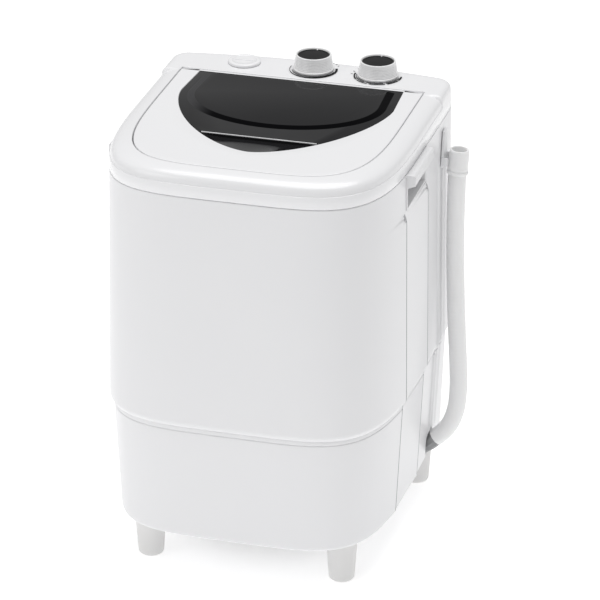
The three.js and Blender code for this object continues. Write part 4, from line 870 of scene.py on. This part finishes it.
def make_base():
    low, high = FLOOR, SEAM - GAP

    def wall(z, back=0.0):
        return relief_ring(z, base_inset(z) + back, BASE_BACK + back)

    # the lip inside the housing and the ledge
    rings = [at_level(high + rise * MM, body_ring(inset, rear * MM)) for rise, inset, rear in
             ((9, base_inset(high) + 2.2 * MM, 3.3), (8.4, 1.3 * MM, 3.0), (0.4, 1.2 * MM, 3.0))]
    # the outer wall, from its round upper edge and the score line down to its round lower edge
    rings += [wall(high - drop * MM, back * MM) for drop, back in ((0, 0.9), (0.3, 0.35), (0.9, 0))]
    rings += [wall(high - SCORE - drop * MM, back * MM) for drop, back in
              ((-0.9, 0), (-0.5, 0.5), (0, 0.6), (0.4, 0.2), (0.9, 0))]
    rings += [wall(z) for z in levels((high - 9 * MM, FLUTE_LOW + 24 * MM, 9 * MM),
                                      (FLUTE_LOW + 24 * MM, FLUTE_LOW - 2 * MM, 2 * MM),
                                      (FLUTE_LOW - 2 * MM, low + 6 * MM, 5 * MM))]
    for angle in (math.pi / 2 * k / BASE_STEPS for k in range(1, BASE_STEPS + 1)):
        z, back = low + BASE_ROUND * (1 - math.sin(angle)), BASE_ROUND * (1 - math.cos(angle))
        rings.append(at_level(z, body_ring(base_inset(z) + back, BASE_BACK + back)))
    # the floor, in to its opening and back out, and the inner wall
    floor = body_ring(24 * MM)
    for share, rise in ((1, 0), (0.8, 0), (0.62, 0), (0.615, 0.6), (0.615, 2.4), (0.62, 3), (0.8, 3), (1, 3)):
        rings.append([(x * share, y * share, low + rise * MM) for x, y in floor])
    rings += [at_level(low + rise * MM, body_ring(base_inset(low) + more * MM, BASE_BACK + more * MM))
              for rise, more in ((3, 4.6), (6, 2.9), (10, 2.6))]
    rings += [at_level(high + rise * MM, body_ring(base_inset(high) + more, BASE_BACK + more))
              for rise, more in ((-6, WALL), (9, WALL + 1.4 * MM))]
    shell = swept("base_housing", rings, closed=True)
    outlet = Vector(HOSE_POINTS[0])
    heading = (Vector(HOSE_POINTS[1]) - outlet).normalized()
    gland = middle_of(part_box("cord_gland"))
    inside, outside = (Vector((gland.x, REAR - BASE_BACK + depth * MM, gland.z)) for depth in (-9, 6))
    carve(shell, cylinder_between("bore", outlet - heading * 26 * MM, outlet + heading * 14 * MM, OUTLET_BORE),
          cylinder_between("hole", inside, outside, GLAND_BORE))
    dress(shell, "housing", "root", ["base_shell"])
    paint_shade_lines(shell)


make_base()


# ---------------------------------------------------------------- legs
# radius and height, in millimetres, of a leg turned on its rounded foot, with its stem up into the base
LEG_PROFILE = [(0, 0), (9.5, 0), (12, 0.25), (13.6, 0.9), (15, 2.1), (15.8, 3.8), (16.1, 6), (17, 20),
               (18.4, 41), (19.3, 57), (19.4, 59.2), (19, 59.9), (10, 60), (10, 92), (9.2, 94), (0, 94)]


def make_legs():
    for name in ("front_left", "front_right", "rear_left", "rear_right"):
        leg = lathe(f"leg_{name}_turned", in_mm(LEG_PROFILE), middle_of(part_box(f"leg_{name}")), 56)
        dress(leg, "leg", "root", [f"leg_{name}"])


make_legs()


# ---------------------------------------------------------------- top trim and control deck
LID_INSET = 25.1 * MM
SEAT_TOP = LID[0].z - GAP
SEAT_LOW = SEAT_TOP - 2.8 * MM
SHAFT_BORE, INLET_BORE, PIN_BORE = 4.5 * MM, 13.2 * MM, 3.35 * MM
KNOB_PLACES = {name: middle_of(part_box(f"{name}_shaft")) for name in ("wash_timer", "drain_selector")}
INLET_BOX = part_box("inlet_cap")
INLET = middle_of(INLET_BOX)

# each row: the rim's inset and height under the top, then the deck's, in millimetres
TRIM_ROWS = [
    (0.8, 31.2, 0.8, 31.2), (0.3, 31.05, 0.3, 31.05), (0.0, 30.6, 0.0, 30.6), (0.2, 20, 0.1, 20),
    (0.45, 16.4, 0.2, 16.4), (0.5, 16.0, 0.25, 16.0), (1.15, 15.6, 0.3, 15.4), (1.3, 15.1, 0.35, 14.5),
    (1.7, 12, 0.5, 11), (2.4, 9.6, 0.8, 8), (3.6, 7.4, 1.5, 5.4), (5.2, 5.7, 2.6, 3.4), (7.4, 4.3, 4.2, 1.9),
    (10.2, 3.1, 6.4, 0.8), (13.4, 2.1, 8.8, 0.25), (17, 1.3, 11, 0.05), (21, 0.6, 14, 0), (23.4, 0.3, 17, 0),
]


def trim_ring(rim_inset, rim_drop, deck_inset, deck_drop):
    """A ring of the trim, which changes from the rim's section to the deck's just ahead of the lid's rear."""
    rim = even_ring(TOP - rim_drop * MM, rim_inset * MM)
    deck = even_ring(TOP - deck_drop * MM, deck_inset * MM, DECK_BOW)
    shares = [smooth_step(LID_REAR - 9.5 * MM, LID_REAR - 6.5 * MM, p[1]) for p in rim]
    return [tuple(mix(u, v, share) for u, v in zip(p, q)) for p, q, share in zip(rim, deck, shares)]


def make_trim():
    low = RIM + GAP
    rings = [trim_ring(*row) for row in TRIM_ROWS]
    # towards the lid's opening, over the deck, then down its well and back underneath
    edge = well_ring(TOP - 0.1 * MM, LID_INSET, LID_REAR)
    rings += [blended_ring(rings[-1], edge, share) for share in (0.35, 0.7, 0.92)]
    for inset, z in ((-0.5, TOP - 0.05 * MM), (-0.1, TOP - 0.25 * MM), (0, TOP - 0.7 * MM),
                     (0, SEAT_TOP + 0.4 * MM), (0.4, SEAT_TOP), (7.6, SEAT_TOP), (8, SEAT_TOP - 0.4 * MM),
                     (8, SEAT_LOW), (-2.4, SEAT_LOW), (-2.6, TOP - 5.5 * MM)):
        rings.append(well_ring(z, LID_INSET + inset * MM, LID_REAR - inset * MM))
    # the hollow of the rim and the deck, its outer wall and the lip inside the housing
    rings += [even_ring(TOP - drop * MM, inset * MM, DECK_BOW)
              for inset, drop in ((12, 5.8), (4, 9.5), (3, 14), (2.6, 26))]
    rings += [even_ring(low + rise * MM, inset * MM)
              for inset, rise in ((5.2, 1), (5.2, -9), (3.2, -9), (2.95, -8.6), (2.95, -0.1))]
    trim = swept("top_trim", rings, closed=True)
    cutters = []
    bores = [(place, SHAFT_BORE, 32) for place in KNOB_PLACES.values()] + [(INLET, INLET_BORE, 64)]
    for place, radius, segments in bores:
        under, over = (Vector((place.x, place.y, TOP + rise * MM)) for rise in (-9, 5))
        cutters.append(cylinder_between("hole", under, over, radius, segments))
    for side, label in ((-1, "left"), (1, "right")):
        inner, outer = sorted((side * (HALF - 26 * MM), side * (HALF - 0.2 * MM)))
        cutters.append(block("handle_room", (inner, HANDLE_SPAN[0] - 2 * MM, low - 12 * MM),
                             (outer, HANDLE_SPAN[1] + 2 * MM, low - 0.1 * MM)))
        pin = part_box(f"lid_hinge_pin_{label}")
        _, y, z = middle_of(pin)
        ends = (pin[0].x - 1 * MM, y, z), (pin[1].x + 1 * MM, y, z)
        cutters.append(cylinder_between("pin_bore", *ends, PIN_BORE))
    carve(trim, *cutters)
    dress(trim, "trim", "root", ["top_frame"])


make_trim()


# ---------------------------------------------------------------- lid
LID_GAP = 1.2 * MM
LID_EDGE = 1.3 * MM
HINGE_RADIUS = 6.4 * MM
HINGE = Vector((0, LID[1].y - HINGE_RADIUS, TOP - HINGE_RADIUS))
LEDGE_REAR = HINGE.y - HINGE_RADIUS
WINDOW_HALF = PANE[1].x
WINDOW_CENTRE = 57 * MM
WINDOW_DEPTH = WINDOW_CENTRE - PANE[0].y
WINDOW_REAR = PANE[1].y
WINDOW_POWER = 1.62
WINDOW_TAPER = 3.7 * MM
PANE_TOP = TOP - GAP


def window_ring(z, offset, rear):
    """The window's outline with as many points as the lid's, from the same place: the front from left to
    right, the right side, the straight rear edge and the left side."""
    a, b = WINDOW_HALF - offset, WINDOW_DEPTH - offset
    angles = np.linspace(0, math.pi, 3001)
    c, s = np.cos(angles), np.sin(angles)
    up = np.linspace(0, 1, 260)[:-1]
    side_x, side_y = WINDOW_TAPER * (1 - up) - a, rear + (WINDOW_CENTRE - rear) * up
    x = np.concatenate((side_x, -np.sign(c) * a * np.abs(c) ** (2 / WINDOW_POWER), -side_x[::-1]))
    y = np.concatenate((side_y, WINDOW_CENTRE - b * s ** (2 / WINDOW_POWER), side_y[::-1]))
    marks, run = evenly(x, y, FRONT_COUNT + 2 * len(LID_SIDE_Y) + 2)
    ring = [(float(np.interp(m, run, x)), float(np.interp(m, run, y)), z) for m in marks]
    ring += [((a - WINDOW_TAPER) * (1 - 2 * k / (REAR_COUNT - 1)), rear, z) for k in range(1, REAR_COUNT - 1)]
    return ring[len(LID_SIDE_Y):] + ring[:len(LID_SIDE_Y)]


def lid_ring(z, inset=0.0):
    """The lid's outline at a level; its rear edge follows the round of the hinge."""
    up = min(max(z - HINGE.z, -HINGE_RADIUS), HINGE_RADIUS)
    rear = HINGE.y + math.sqrt(max(HINGE_RADIUS ** 2 - up ** 2, 0.0))
    return well_ring(z, LID_INSET + LID_GAP + inset, rear)


def make_lid():
    low = LID[0].z
    rings = [lid_ring(low, 2.6 * MM), lid_ring(low, 0.5 * MM), lid_ring(low + 0.5 * MM)]
    rings += [lid_ring(z) for z in levels((low + 4 * MM, TOP - HINGE_RADIUS, 2.5 * MM),
                                          (TOP - HINGE_RADIUS, TOP - 1.4 * MM, 0.7 * MM))]
    for angle in (math.pi / 2 * k / 5 for k in range(1, 6)):
        rings.append(lid_ring(TOP - LID_EDGE * (1 - math.sin(angle)), LID_EDGE * (1 - math.cos(angle))))
    # over the top to the window's edge, down beside it, under the pane and back to the rim
    lip = window_ring(TOP, -1.4 * MM, WINDOW_REAR + 0.9 * MM)
    rings += [blended_ring(rings[-1], lip, share) for share in (0.08, 0.4, 0.75)] + [lip]
    rings += [window_ring(TOP - drop * MM, offset * MM, WINDOW_REAR + behind * MM)
              for drop, offset, behind in ((0.15, -0.7, 0.6), (0.55, -0.4, 0.4), (3.9, -0.4, 0.4))]
    rings += [window_ring(TOP - drop * MM, 5 * MM, LEDGE_REAR) for drop in (3.9, 6.3)]
    rings.append(well_ring(TOP - 6.3 * MM, LID_INSET + LID_GAP + 2.6 * MM, LEDGE_REAR))
    dress(swept("lid_panel", rings, closed=True), "trim", "lid", ["lid_frame"])


make_lid()


# ---------------------------------------------------------------- window
SCOOP_LINE = -67 * MM
SCOOP_FALL = 4.2 * MM
SCOOP_THICK = 1.9 * MM
SCOOP_CELLS = (72, 22)
PLATEAU_REAR = LEDGE_REAR - 2 * GAP
PLATEAU_RISE = 1.75 * MM
BAND_HALF = 119 * MM  # half width and depth of the middle line of the dark band
BAND_DEPTH = 88 * MM
BAND_WIDTH = 9.5 * MM


def window_half(y, half, depth, power):
    """Half width at that depth of an outline that is curved ahead of the window's centre and tapers behind."""
    if y > WINDOW_CENTRE:
        return half - WINDOW_TAPER * (y - WINDOW_CENTRE) / (WINDOW_REAR - WINDOW_CENTRE)
    return half * max(0.0, 1 - ((WINDOW_CENTRE - y) / depth) ** power) ** (1 / power)


def pane_half(y, offset):
    return window_half(y, WINDOW_HALF - offset, WINDOW_DEPTH - offset, WINDOW_POWER)


def rear_edge(half, y, last):
    return [(half * (1 - k / 12), y) for k in range(1, last + 1)]


def chord_ring(z, offset):
    """Outline of the pane between a straight front chord and the rear edge."""
    front, rear, count = SCOOP_LINE + offset / 2, WINDOW_REAR - offset, 48
    half = pane_half(front, offset)
    places = [mix(front, rear, 0.5 - 0.5 * math.cos(math.pi * k / count)) for k in range(1, count + 1)]
    side = [(pane_half(y, offset), y) for y in places]
    chord = [(half * (2 * k / count - 1), front) for k in range(count + 1)]
    return at_level(z, chord + side + rear_edge(side[-1][0], rear, 24) + mirrored(side[:-1]))


def band_ring(z, grown, back):
    """Outline of the raised plateau: an ellipse behind the chord, cut by the rear edge."""
    half, depth, rear = BAND_HALF + grown, BAND_DEPTH + grown, PLATEAU_REAR - back
    curve = [(half * math.sin(t), WINDOW_CENTRE - depth * math.cos(t))
             for t in (math.pi / 2 * k / 40 for k in range(41))]
    behind = (mix(WINDOW_CENTRE, rear, k / 8) for k in range(1, 9))
    curve += [(window_half(y, half, depth, 2), y) for y in behind]
    return at_level(z, curve + rear_edge(curve[-1][0], rear, 23) + mirrored(curve[1:]))


def scoop_row(t, drop):
    """Points across the scoop at a share of the way from the chord to the front curve."""
    made = []
    for s in (2 * i / SCOOP_CELLS[0] - 1 for i in range(SCOOP_CELLS[0] + 1)):
        x = pane_half(SCOOP_LINE, 0.6 * MM) * s
        share = min(abs(x) / (WINDOW_HALF - 0.6 * MM), 1)
        front = WINDOW_CENTRE - (WINDOW_DEPTH - 0.6 * MM) * (1 - share ** WINDOW_POWER) ** (1 / WINDOW_POWER)
        start = SCOOP_LINE - 0.4 * MM
        fall = SCOOP_FALL * (1 - abs(s) ** 6) * max(0.0, math.cos(math.pi / 2 * t))
        made.append((x, mix(start, min(front, start), t), PANE_TOP - 0.15 * MM - fall - drop))
    return made


def make_scoop():
    """A dish that falls behind the chord and rises to the front curve."""
    columns, rows = SCOOP_CELLS
    wide = columns + 1
    shift = (rows + 1) * wide
    vertices = [p for drop in (0.0, SCOOP_THICK) for j in range(rows + 1) for p in scoop_row(j / rows, drop)]
    faces = []
    for a in (j * wide + i for j in range(rows) for i in range(columns)):
        b, c, d = a + 1, a + wide + 1, a + wide
        faces += [(a, d, c, b), (a + shift, b + shift, c + shift, d + shift)]
    edge = list(range(wide)) + [j * wide + columns for j in range(1, rows + 1)]
    edge += [rows * wide + i for i in range(columns - 1, -1, -1)] + [j * wide for j in range(rows - 1, 0, -1)]
    faces += [(a, b, b + shift, a + shift) for a, b in zip(edge, edge[1:] + edge[:1])]
    return new_object("scoop", vertices, faces)


def make_window():
    low, edge = PANE[0].z, BAND_WIDTH / 2
    pane = swept("pane", [chord_ring(z, offset * MM) for offset, z in (
        (0.9, low), (0.3, low + 0.2 * MM), (0, low + 0.8 * MM), (0, PANE_TOP - 0.6 * MM),
        (0.15, PANE_TOP - 0.2 * MM), (0.6, PANE_TOP))])
    plateau = swept("plateau", [band_ring(PANE_TOP + rise, grown, back * MM) for grown, back, rise in (
        (edge, 0, -0.6 * MM), (edge, 0, -0.02 * MM), (edge - 0.5 * MM, 0.1, 0.12 * MM),
        (0.5 * MM - edge, 0.2, PLATEAU_RISE - 0.12 * MM), (-edge, 0.3, PLATEAU_RISE))])
    scoop = make_scoop()
    for made in (pane, plateau, scoop):
        finish_mesh(made, "window", "bevel")
    for face in plateau.data.polygons:
        face.material_index = 1 if 0.001 < 1 - face.normal.z < 0.6 else 0
    dress(merged("lid_window_pane", pane, plateau, scoop), None, "lid", ["lid_window"])
    # a thin raised strip along the chord, near white: a painted highlight on the scoop's edge
    half = pane_half(SCOOP_LINE, 3 * MM)
    outline = rounded(-half, SCOOP_LINE - 0.2 * MM, half, SCOOP_LINE + 0.75 * MM, 0.3 * MM)
    line = extruded("scoop_line", outline, PANE_TOP - 1 * MM, PANE_TOP + 0.18 * MM, 0.1 * MM)
    dress(line, "line", "lid")


make_window()


# ---------------------------------------------------------------- repeated pieces
def copies_tree(name, **kinds):
    """A tree with a named input of each kind, and its points and the copies that stand on them."""
    tree = bpy.data.node_groups.new(name, "GeometryNodeTree")
    for key, kind in {"piece": "Object", "count": "Int", "material": "Material", **kinds}.items():
        tree.interface.new_socket(label_of(key), in_out="INPUT", socket_type=f"NodeSocket{kind}")
    tree.interface.new_socket("Geometry", in_out="OUTPUT", socket_type="NodeSocketGeometry")
    given = tree.nodes.new("NodeGroupInput").outputs
    points = node(tree, "GeometryNodePoints", {"Count": given["Count"]}).outputs[0]
    index = node(tree, "GeometryNodeInputIndex").outputs[0]
    return tree, given, points, index


def finish_tree(tree, given, points, places, rotation=None):
    """Stands the piece on the places, and makes the copies real and finished."""
    moved = node(tree, "GeometryNodeSetPosition", {"Geometry": points, "Position": places}).outputs[0]
    piece = node(tree, "GeometryNodeObjectInfo", {"Object": given["Piece"]}).outputs["Geometry"]
    inputs = {"Points": moved, "Instance": piece, **({"Rotation": rotation} if rotation else {})}
    copies = node(tree, "GeometryNodeInstanceOnPoints", inputs).outputs[0]
    real = node(tree, "GeometryNodeRealizeInstances", {0: copies}).outputs[0]
    finish = node(tree, "GeometryNodeSetMaterial", {"Geometry": real, "Material": given["Material"]})
    wire(tree, finish.outputs[0], tree.nodes.new("NodeGroupOutput").inputs[0])
    return tree


def ring_tree():
    """Copies of a piece on part of a circle, turned to face outwards, with a slight fixed unevenness."""
    tree, given, points, index = copies_tree("Ring of pieces", radius="Float", start_angle="Float",
                                             step_angle="Float", unevenness="Float", seed="Int")
    turn = reckoned(tree, "MULTIPLY_ADD", index, given["Step angle"], given["Start angle"])
    least = reckoned(tree, "MULTIPLY", given["Unevenness"], -1)
    spread = {2: least, 3: given["Unevenness"], "Seed": given["Seed"]}
    jitter = node(tree, "FunctionNodeRandomValue", spread, data_type="FLOAT").outputs[1]
    angle = reckoned(tree, "ADD", turn, jitter)
    direction = {0: reckoned(tree, "COSINE", angle), 1: reckoned(tree, "SINE", angle)}
    outwards = node(tree, "ShaderNodeCombineXYZ", direction).outputs[0]
    place = node(tree, "ShaderNodeVectorMath", {0: outwards, "Scale": given["Radius"]}, operation="SCALE")
    rotation = node(tree, "ShaderNodeCombineXYZ", {2: angle}).outputs[0]
    return finish_tree(tree, given, points, place.outputs[0], rotation)


def row_tree():
    """Copies of a piece at even steps along a line."""
    tree, given, points, index = copies_tree("Row of pieces", step="Vector")
    place = node(tree, "ShaderNodeVectorMath", {0: given["Step"], "Scale": index}, operation="SCALE")
    return finish_tree(tree, given, points, place.outputs[0])


RING, ROW = ring_tree(), row_tree()


def repeated(name, tree, piece, finish, centre, **values):
    """The tree's copies of a piece as one plain mesh round that centre; the piece itself is removed."""
    host = placed_object(name, bpy.data.meshes.new(name))
    change = host.modifiers.new("copies", "NODES")
    change.node_group = tree
    values.update(piece=piece, material=FINISHES[finish])
    wanted = {label_of(key): value for key, value in values.items()}
    for item in tree.interface.items_tree:
        if item.in_out == "INPUT" and item.name in wanted:
            change[item.identifier] = wanted[item.name]
    made_plain(host)
    host.data.transform(Matrix.Translation(centre))
    bpy.data.objects.remove(piece)
    return host


def small_bar(name, length, width, height):
    """A small bar with rounded edges that lies along X."""
    outline = rounded(-length / 2, -width / 2, length / 2, width / 2, width * 0.3)
    return extruded(name, outline, 0.0, height, min(height, width) * 0.25)


QUARTER_TURN = Matrix.Rotation(math.pi / 2, 4, "Z")


# ---------------------------------------------------------------- controls
# radius and height over the knob's foot or under its top, and over the cap's foot, in millimetres
KNOB_FOOT = [(0, 1), (4.6, 1), (4.8, 0), (24.6, 0), (25.3, 0.6), (25.5, 1.4), (25.35, 2.4)]
KNOB_CROWN = [(22.4, -3.0), (22.35, -1.4), (22.1, -0.5), (21.6, -0.08), (21.1, 0), (20.5, -0.2), (20.1, -0.8)]
CAP_PROFILE = [(0, 0.1), (19.6, 0.1), (19.6, 0.9), (19.3, 1.25), (18, 1.35), (17.4, 1.0), (16.6, 0.95),
               (9, 1.25), (0, 1.3)]
KNOB_RIB = ((0, 0), (0.3, 0.22), (0.6, 0.22), (0.9, 0))
KNOB_RIB_PITCH = 1.9 * MM
DIAL_THICK = 0.15 * MM
TICK_RADIUS = 33 * MM


def make_knob(prefix, centre):
    body = f"{prefix}_control"
    knob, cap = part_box(f"{prefix}_knob"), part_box(f"{prefix}_knob_cap")[0].z
    low, high = knob[0].z, knob[1].z
    profile = in_mm(KNOB_FOOT, low)
    z = low + 3.2 * MM
    while z < high - 4.4 * MM:
        radius = mix(25.1 * MM, 22.3 * MM, ((z - low) / (high - low)) ** 0.75)
        profile += [(radius - drop * MM, z + step * MM) for step, drop in KNOB_RIB]
        z += KNOB_RIB_PITCH
    profile += in_mm(KNOB_CROWN, high) + in_mm([(19.95, 0.2), (19.9, 0), (0, -0.1)], cap)
    dress(lathe(f"{prefix}_knob_turned", profile, centre, 96), "knob", body, [f"{prefix}_knob"])
    disc = lathe(f"{prefix}_cap_disc", in_mm(CAP_PROFILE, cap), centre, 80)
    dress(disc, "black", body, [f"{prefix}_knob_cap"])
    pointer = small_bar(f"{prefix}_pointer", 2.6 * MM, 1.5 * MM, 0.9 * MM)
    pointer.data.transform(Matrix.Translation(centre + Vector((0, 18 * MM, cap + 0.9 * MM))) @ QUARTER_TURN)
    dress(pointer, "knob", body)


def flat_arc(centre, start, sweep, inner, outer, swell, low, high, segments):
    """A flat printed arc, in degrees and metres, whose inner edge moves in by the swell along its sweep."""
    chamfer, fade = 0.05 * MM, 0.06 * MM
    rings = []
    for t in (k / segments for k in range(segments + 1)):
        angle = math.radians(start + sweep * t)
        a, b = inner - swell * t ** 1.5, outer
        c, s = math.cos(angle), math.sin(angle)
        section = ((a, low), (b, low), (b, high - chamfer), (b - fade, high), (a + fade, high),
                   (a, high - chamfer))
        rings.append([(centre.x + r * c, centre.y + r * s, z) for r, z in section])
    return swept("arc", rings)


def make_control(prefix, arcs, tick, count, first, step, seed):
    """A knob on its printed scale, with ticks outside it. An arc has a start, sweep, radii, swell and steps."""
    place = KNOB_PLACES[prefix]
    centre = Vector((place.x, place.y, 0))
    make_knob(prefix, centre)
    low, high = (end.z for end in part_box(f"{prefix}_dial"))
    made = [flat_arc(centre, start, sweep, inner * MM, outer * MM, swell * MM, low, high - DIAL_THICK, steps)
            for start, sweep, inner, outer, swell, steps in arcs]
    dress(merged(f"{prefix}_scale", *made), "print", "root", [f"{prefix}_dial"])
    ticks = repeated(f"{prefix}_ticks", RING, small_bar("tick", *tick, 0.35 * MM), "print",
                     centre + Vector((0, 0, low)), count=count, radius=TICK_RADIUS, unevenness=0.004,
                     seed=seed, start_angle=math.radians(first), step_angle=math.radians(step))
    dress(ticks, None, "root")


make_control("wash_timer", ((172, 206, 29.6, 29.95, 2.6, 90), (196, 158, 26.5, 26.9, 0, 80)),
             (2.2 * MM, 0.5 * MM), 12, 35, 10, 3)
make_control("drain_selector", (
    (176, 40, 28.2, 29.95, 0, 28), (222, 34, 28.9, 29.7, 0, 28), (262, 40, 28.9, 29.7, 0, 28),
    (308, 34, 28.7, 29.8, 0, 28), (346, 22, 28.0, 29.95, 0, 28), (184, 60, 26.3, 26.9, 0, 28),
    (252, 46, 26.3, 26.8, 0, 28), (306, 56, 26.3, 26.9, 0, 28),
), (2.6 * MM, 0.6 * MM), 3, 150, 16, 5)

# radius and height over the cap's foot, then under its top
INLET_FOOT = [(0, 0), (19.8, 0), (20.3, 0.5), (20.4, 1.4), (20.2, 2.6), (19.6, 3.3), (18.6, 3.75)]
INLET_CROWN = [(17.2, -0.1), (16.2, 0), (15.6, -0.15), (15.2, -0.7), (14.6, -0.9), (8, -0.75), (0, -0.7)]


def make_inlet_cap():
    low, high = INLET_BOX[0].z, INLET_BOX[1].z
    made = lathe("inlet_cap_turned", in_mm(INLET_FOOT, low) + in_mm(INLET_CROWN, high), INLET, 80)
    dress(made, "trim", "inlet_cover", ["inlet_cap"])
    grip = small_bar("inlet_cap_grip", 24 * MM, 3.2 * MM, 0.85 * MM)
    grip.data.transform(Matrix.Translation((INLET.x, INLET.y, high - 0.9 * MM)))
    dress(grip, "trim", "inlet_cover")


make_inlet_cap()


# ---------------------------------------------------------------- handles, hanger, rear
def make_handle(side):
    """A grip with three fine ridges along its top."""
    handle = softened(f"handle_{side}", f"side_handle_{side}", 1.0 * MM, 3)
    dress(handle, "handle", "root", [f"side_handle_{side}"])
    low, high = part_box(f"side_handle_{side}")
    ridge = small_bar("ridge", (high.y - low.y) - 14 * MM, 0.8 * MM, 0.3 * MM)
    ridge.data.transform(QUARTER_TURN)
    first = high.x - 6.4 * MM if side == "right" else low.x + 2.8 * MM
    ridges = repeated(f"handle_{side}_ridges", ROW, ridge, "handle",
                      Vector((first, (low.y + high.y) / 2, high.z - 0.05 * MM)), count=3,
                      step=Vector((1.8 * MM, 0, 0)))
    dress(ridges, None, "root")


make_handle("left")
make_handle("right")
hook = softened("hose_hook", "hose_hanger", 0.8 * MM)
dress(hook, "handle", "root", ["hose_hanger"])
cover = softened("rear_cover", "rear_panel", 0.7 * MM)
dress(cover, "housing", "root", ["rear_panel"])

# the CAD pieces that keep their shape
for key, names in {
    "inner": ("wash_timer_body", "drain_selector_body", "inlet_spout", "drain_filter_cover", "motor_capacitor",
              "drain_valve", "outlet_pipe"),
    "tub": ("wash_tub",),
    "steel": ("lid_hinge_pin_left", "lid_hinge_pin_right", "pulsator_screw", "pulsator_shaft", "motor_shaft",
              *(f"rear_panel_screw_{k}" for k in range(1, 7))),
    "knob": ("wash_timer_shaft", "drain_selector_shaft"),
    "rubber": ("drive_belt", "cord_gland", "shaft_seal"),
    "zinc": ("motor_plate", "bearing_housing"),
    "motor": ("motor",),
    "pulley": ("driven_pulley", "motor_pulley"),
}.items():
    for name in names:
        finish_mesh(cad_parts[name], key)

# ---------------------------------------------------------------- pulsator
DISC_RADIUS = 81.8 * MM
FIN_RISE = 10.5 * MM
# radius and height over the disc's foot, with its edge, its sloping plate and its hub; then under its top
DISC_PROFILE = [(0, 1.6), (60, 1.6), (79, 0.6), (81.8, 0.2), (81.8, 2.6), (81, 3.6), (79, 4.3), (75, 4.8)]
DISC_PROFILE += [(r, 4.8 + (75 - r) * 0.06) for r in range(72, 20, -3)] + [(18, 9.4), (15.5, 13)]
HUB_PROFILE = [(14, -1.5), (12.8, -0.4), (11.5, 0), (7.2, 0), (6.8, -0.3), (0, -0.4)]


def make_pulsator():
    low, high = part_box("pulsator")
    top = high.z - 0.2 * MM

    def fin(k, r, z, angle):
        """Height of the upper face, with its four swept fins."""
        if k < 4 or r < 17 * MM:
            return z
        share = r / DISC_RADIUS
        wave = max(0.0, math.cos(4 * (angle + 1.1 * share))) ** 5
        band = smooth_step(16 * MM, 30 * MM, r) * (1 - smooth_step(72 * MM, 81 * MM, r))
        return min(z + FIN_RISE * wave * band * (1 - 0.45 * share), top)

    profile = in_mm(DISC_PROFILE, low.z) + in_mm(HUB_PROFILE, high.z)
    made = lathe("pulsator_disc", profile, (low + high) / 2, 192, 50, fin)
    dress(made, "pulsator", "pulsator_drive", ["pulsator"])


make_pulsator()

# ---------------------------------------------------------------- floor and light
SKY_LIGHT = 0.46
SKY_SEEN = 1.05  # the backdrop is seen brighter than it lights
FLOOR_GLOW = 0.42
LAMPS = (
    ("key", (-2.2, -2.5, 2.0), (0, 0, 0.3), 2.4, 18),
    ("top", (0.1, 0.2, 3.0), (0, 0, 0.4), 2.6, 48),
)


def make_floor():
    floor = block("floor", (-9, -9, -0.03), (9, 9, -0.0004))
    material = bpy.data.materials.new("Studio floor")
    material.use_nodes = True
    tree = material.node_tree
    shader = tree.nodes["Principled BSDF"].inputs
    patches = noise(tree, node(tree, "ShaderNodeTexCoord").outputs["Object"], 3)
    wire(tree, blended(tree, patches, (0.93, 0.93, 0.93), (0.95, 0.95, 0.95)), shader["Base Color"])
    for key, value in {"Roughness": 0.9, "Specular IOR Level": 0.1, "Emission Color": (1, 1, 1, 1),
                       "Emission Strength": FLOOR_GLOW}.items():
        shader[key].default_value = value
    floor.data.materials.append(material)


def make_light():
    world = bpy.data.worlds.new("studio")
    world.use_nodes = True
    tree = world.node_tree
    sky = tree.nodes["Background"].inputs
    sky["Color"].default_value = (1, 1, 1, 1)
    seen = node(tree, "ShaderNodeLightPath").outputs["Is Camera Ray"]
    wire(tree, ranged(tree, seen, 0, 1, SKY_LIGHT, SKY_SEEN), sky["Strength"])
    bpy.context.scene.world = world
    for name, place, target, size, power in LAMPS:
        lamp = bpy.data.lights.new(name, "AREA")
        lamp.shape, lamp.size, lamp.energy = "DISK", size, power
        aimed(placed_object(name, lamp), place, target)


make_floor()
make_light()
bpy.context.scene.view_settings.view_transform = "Standard"
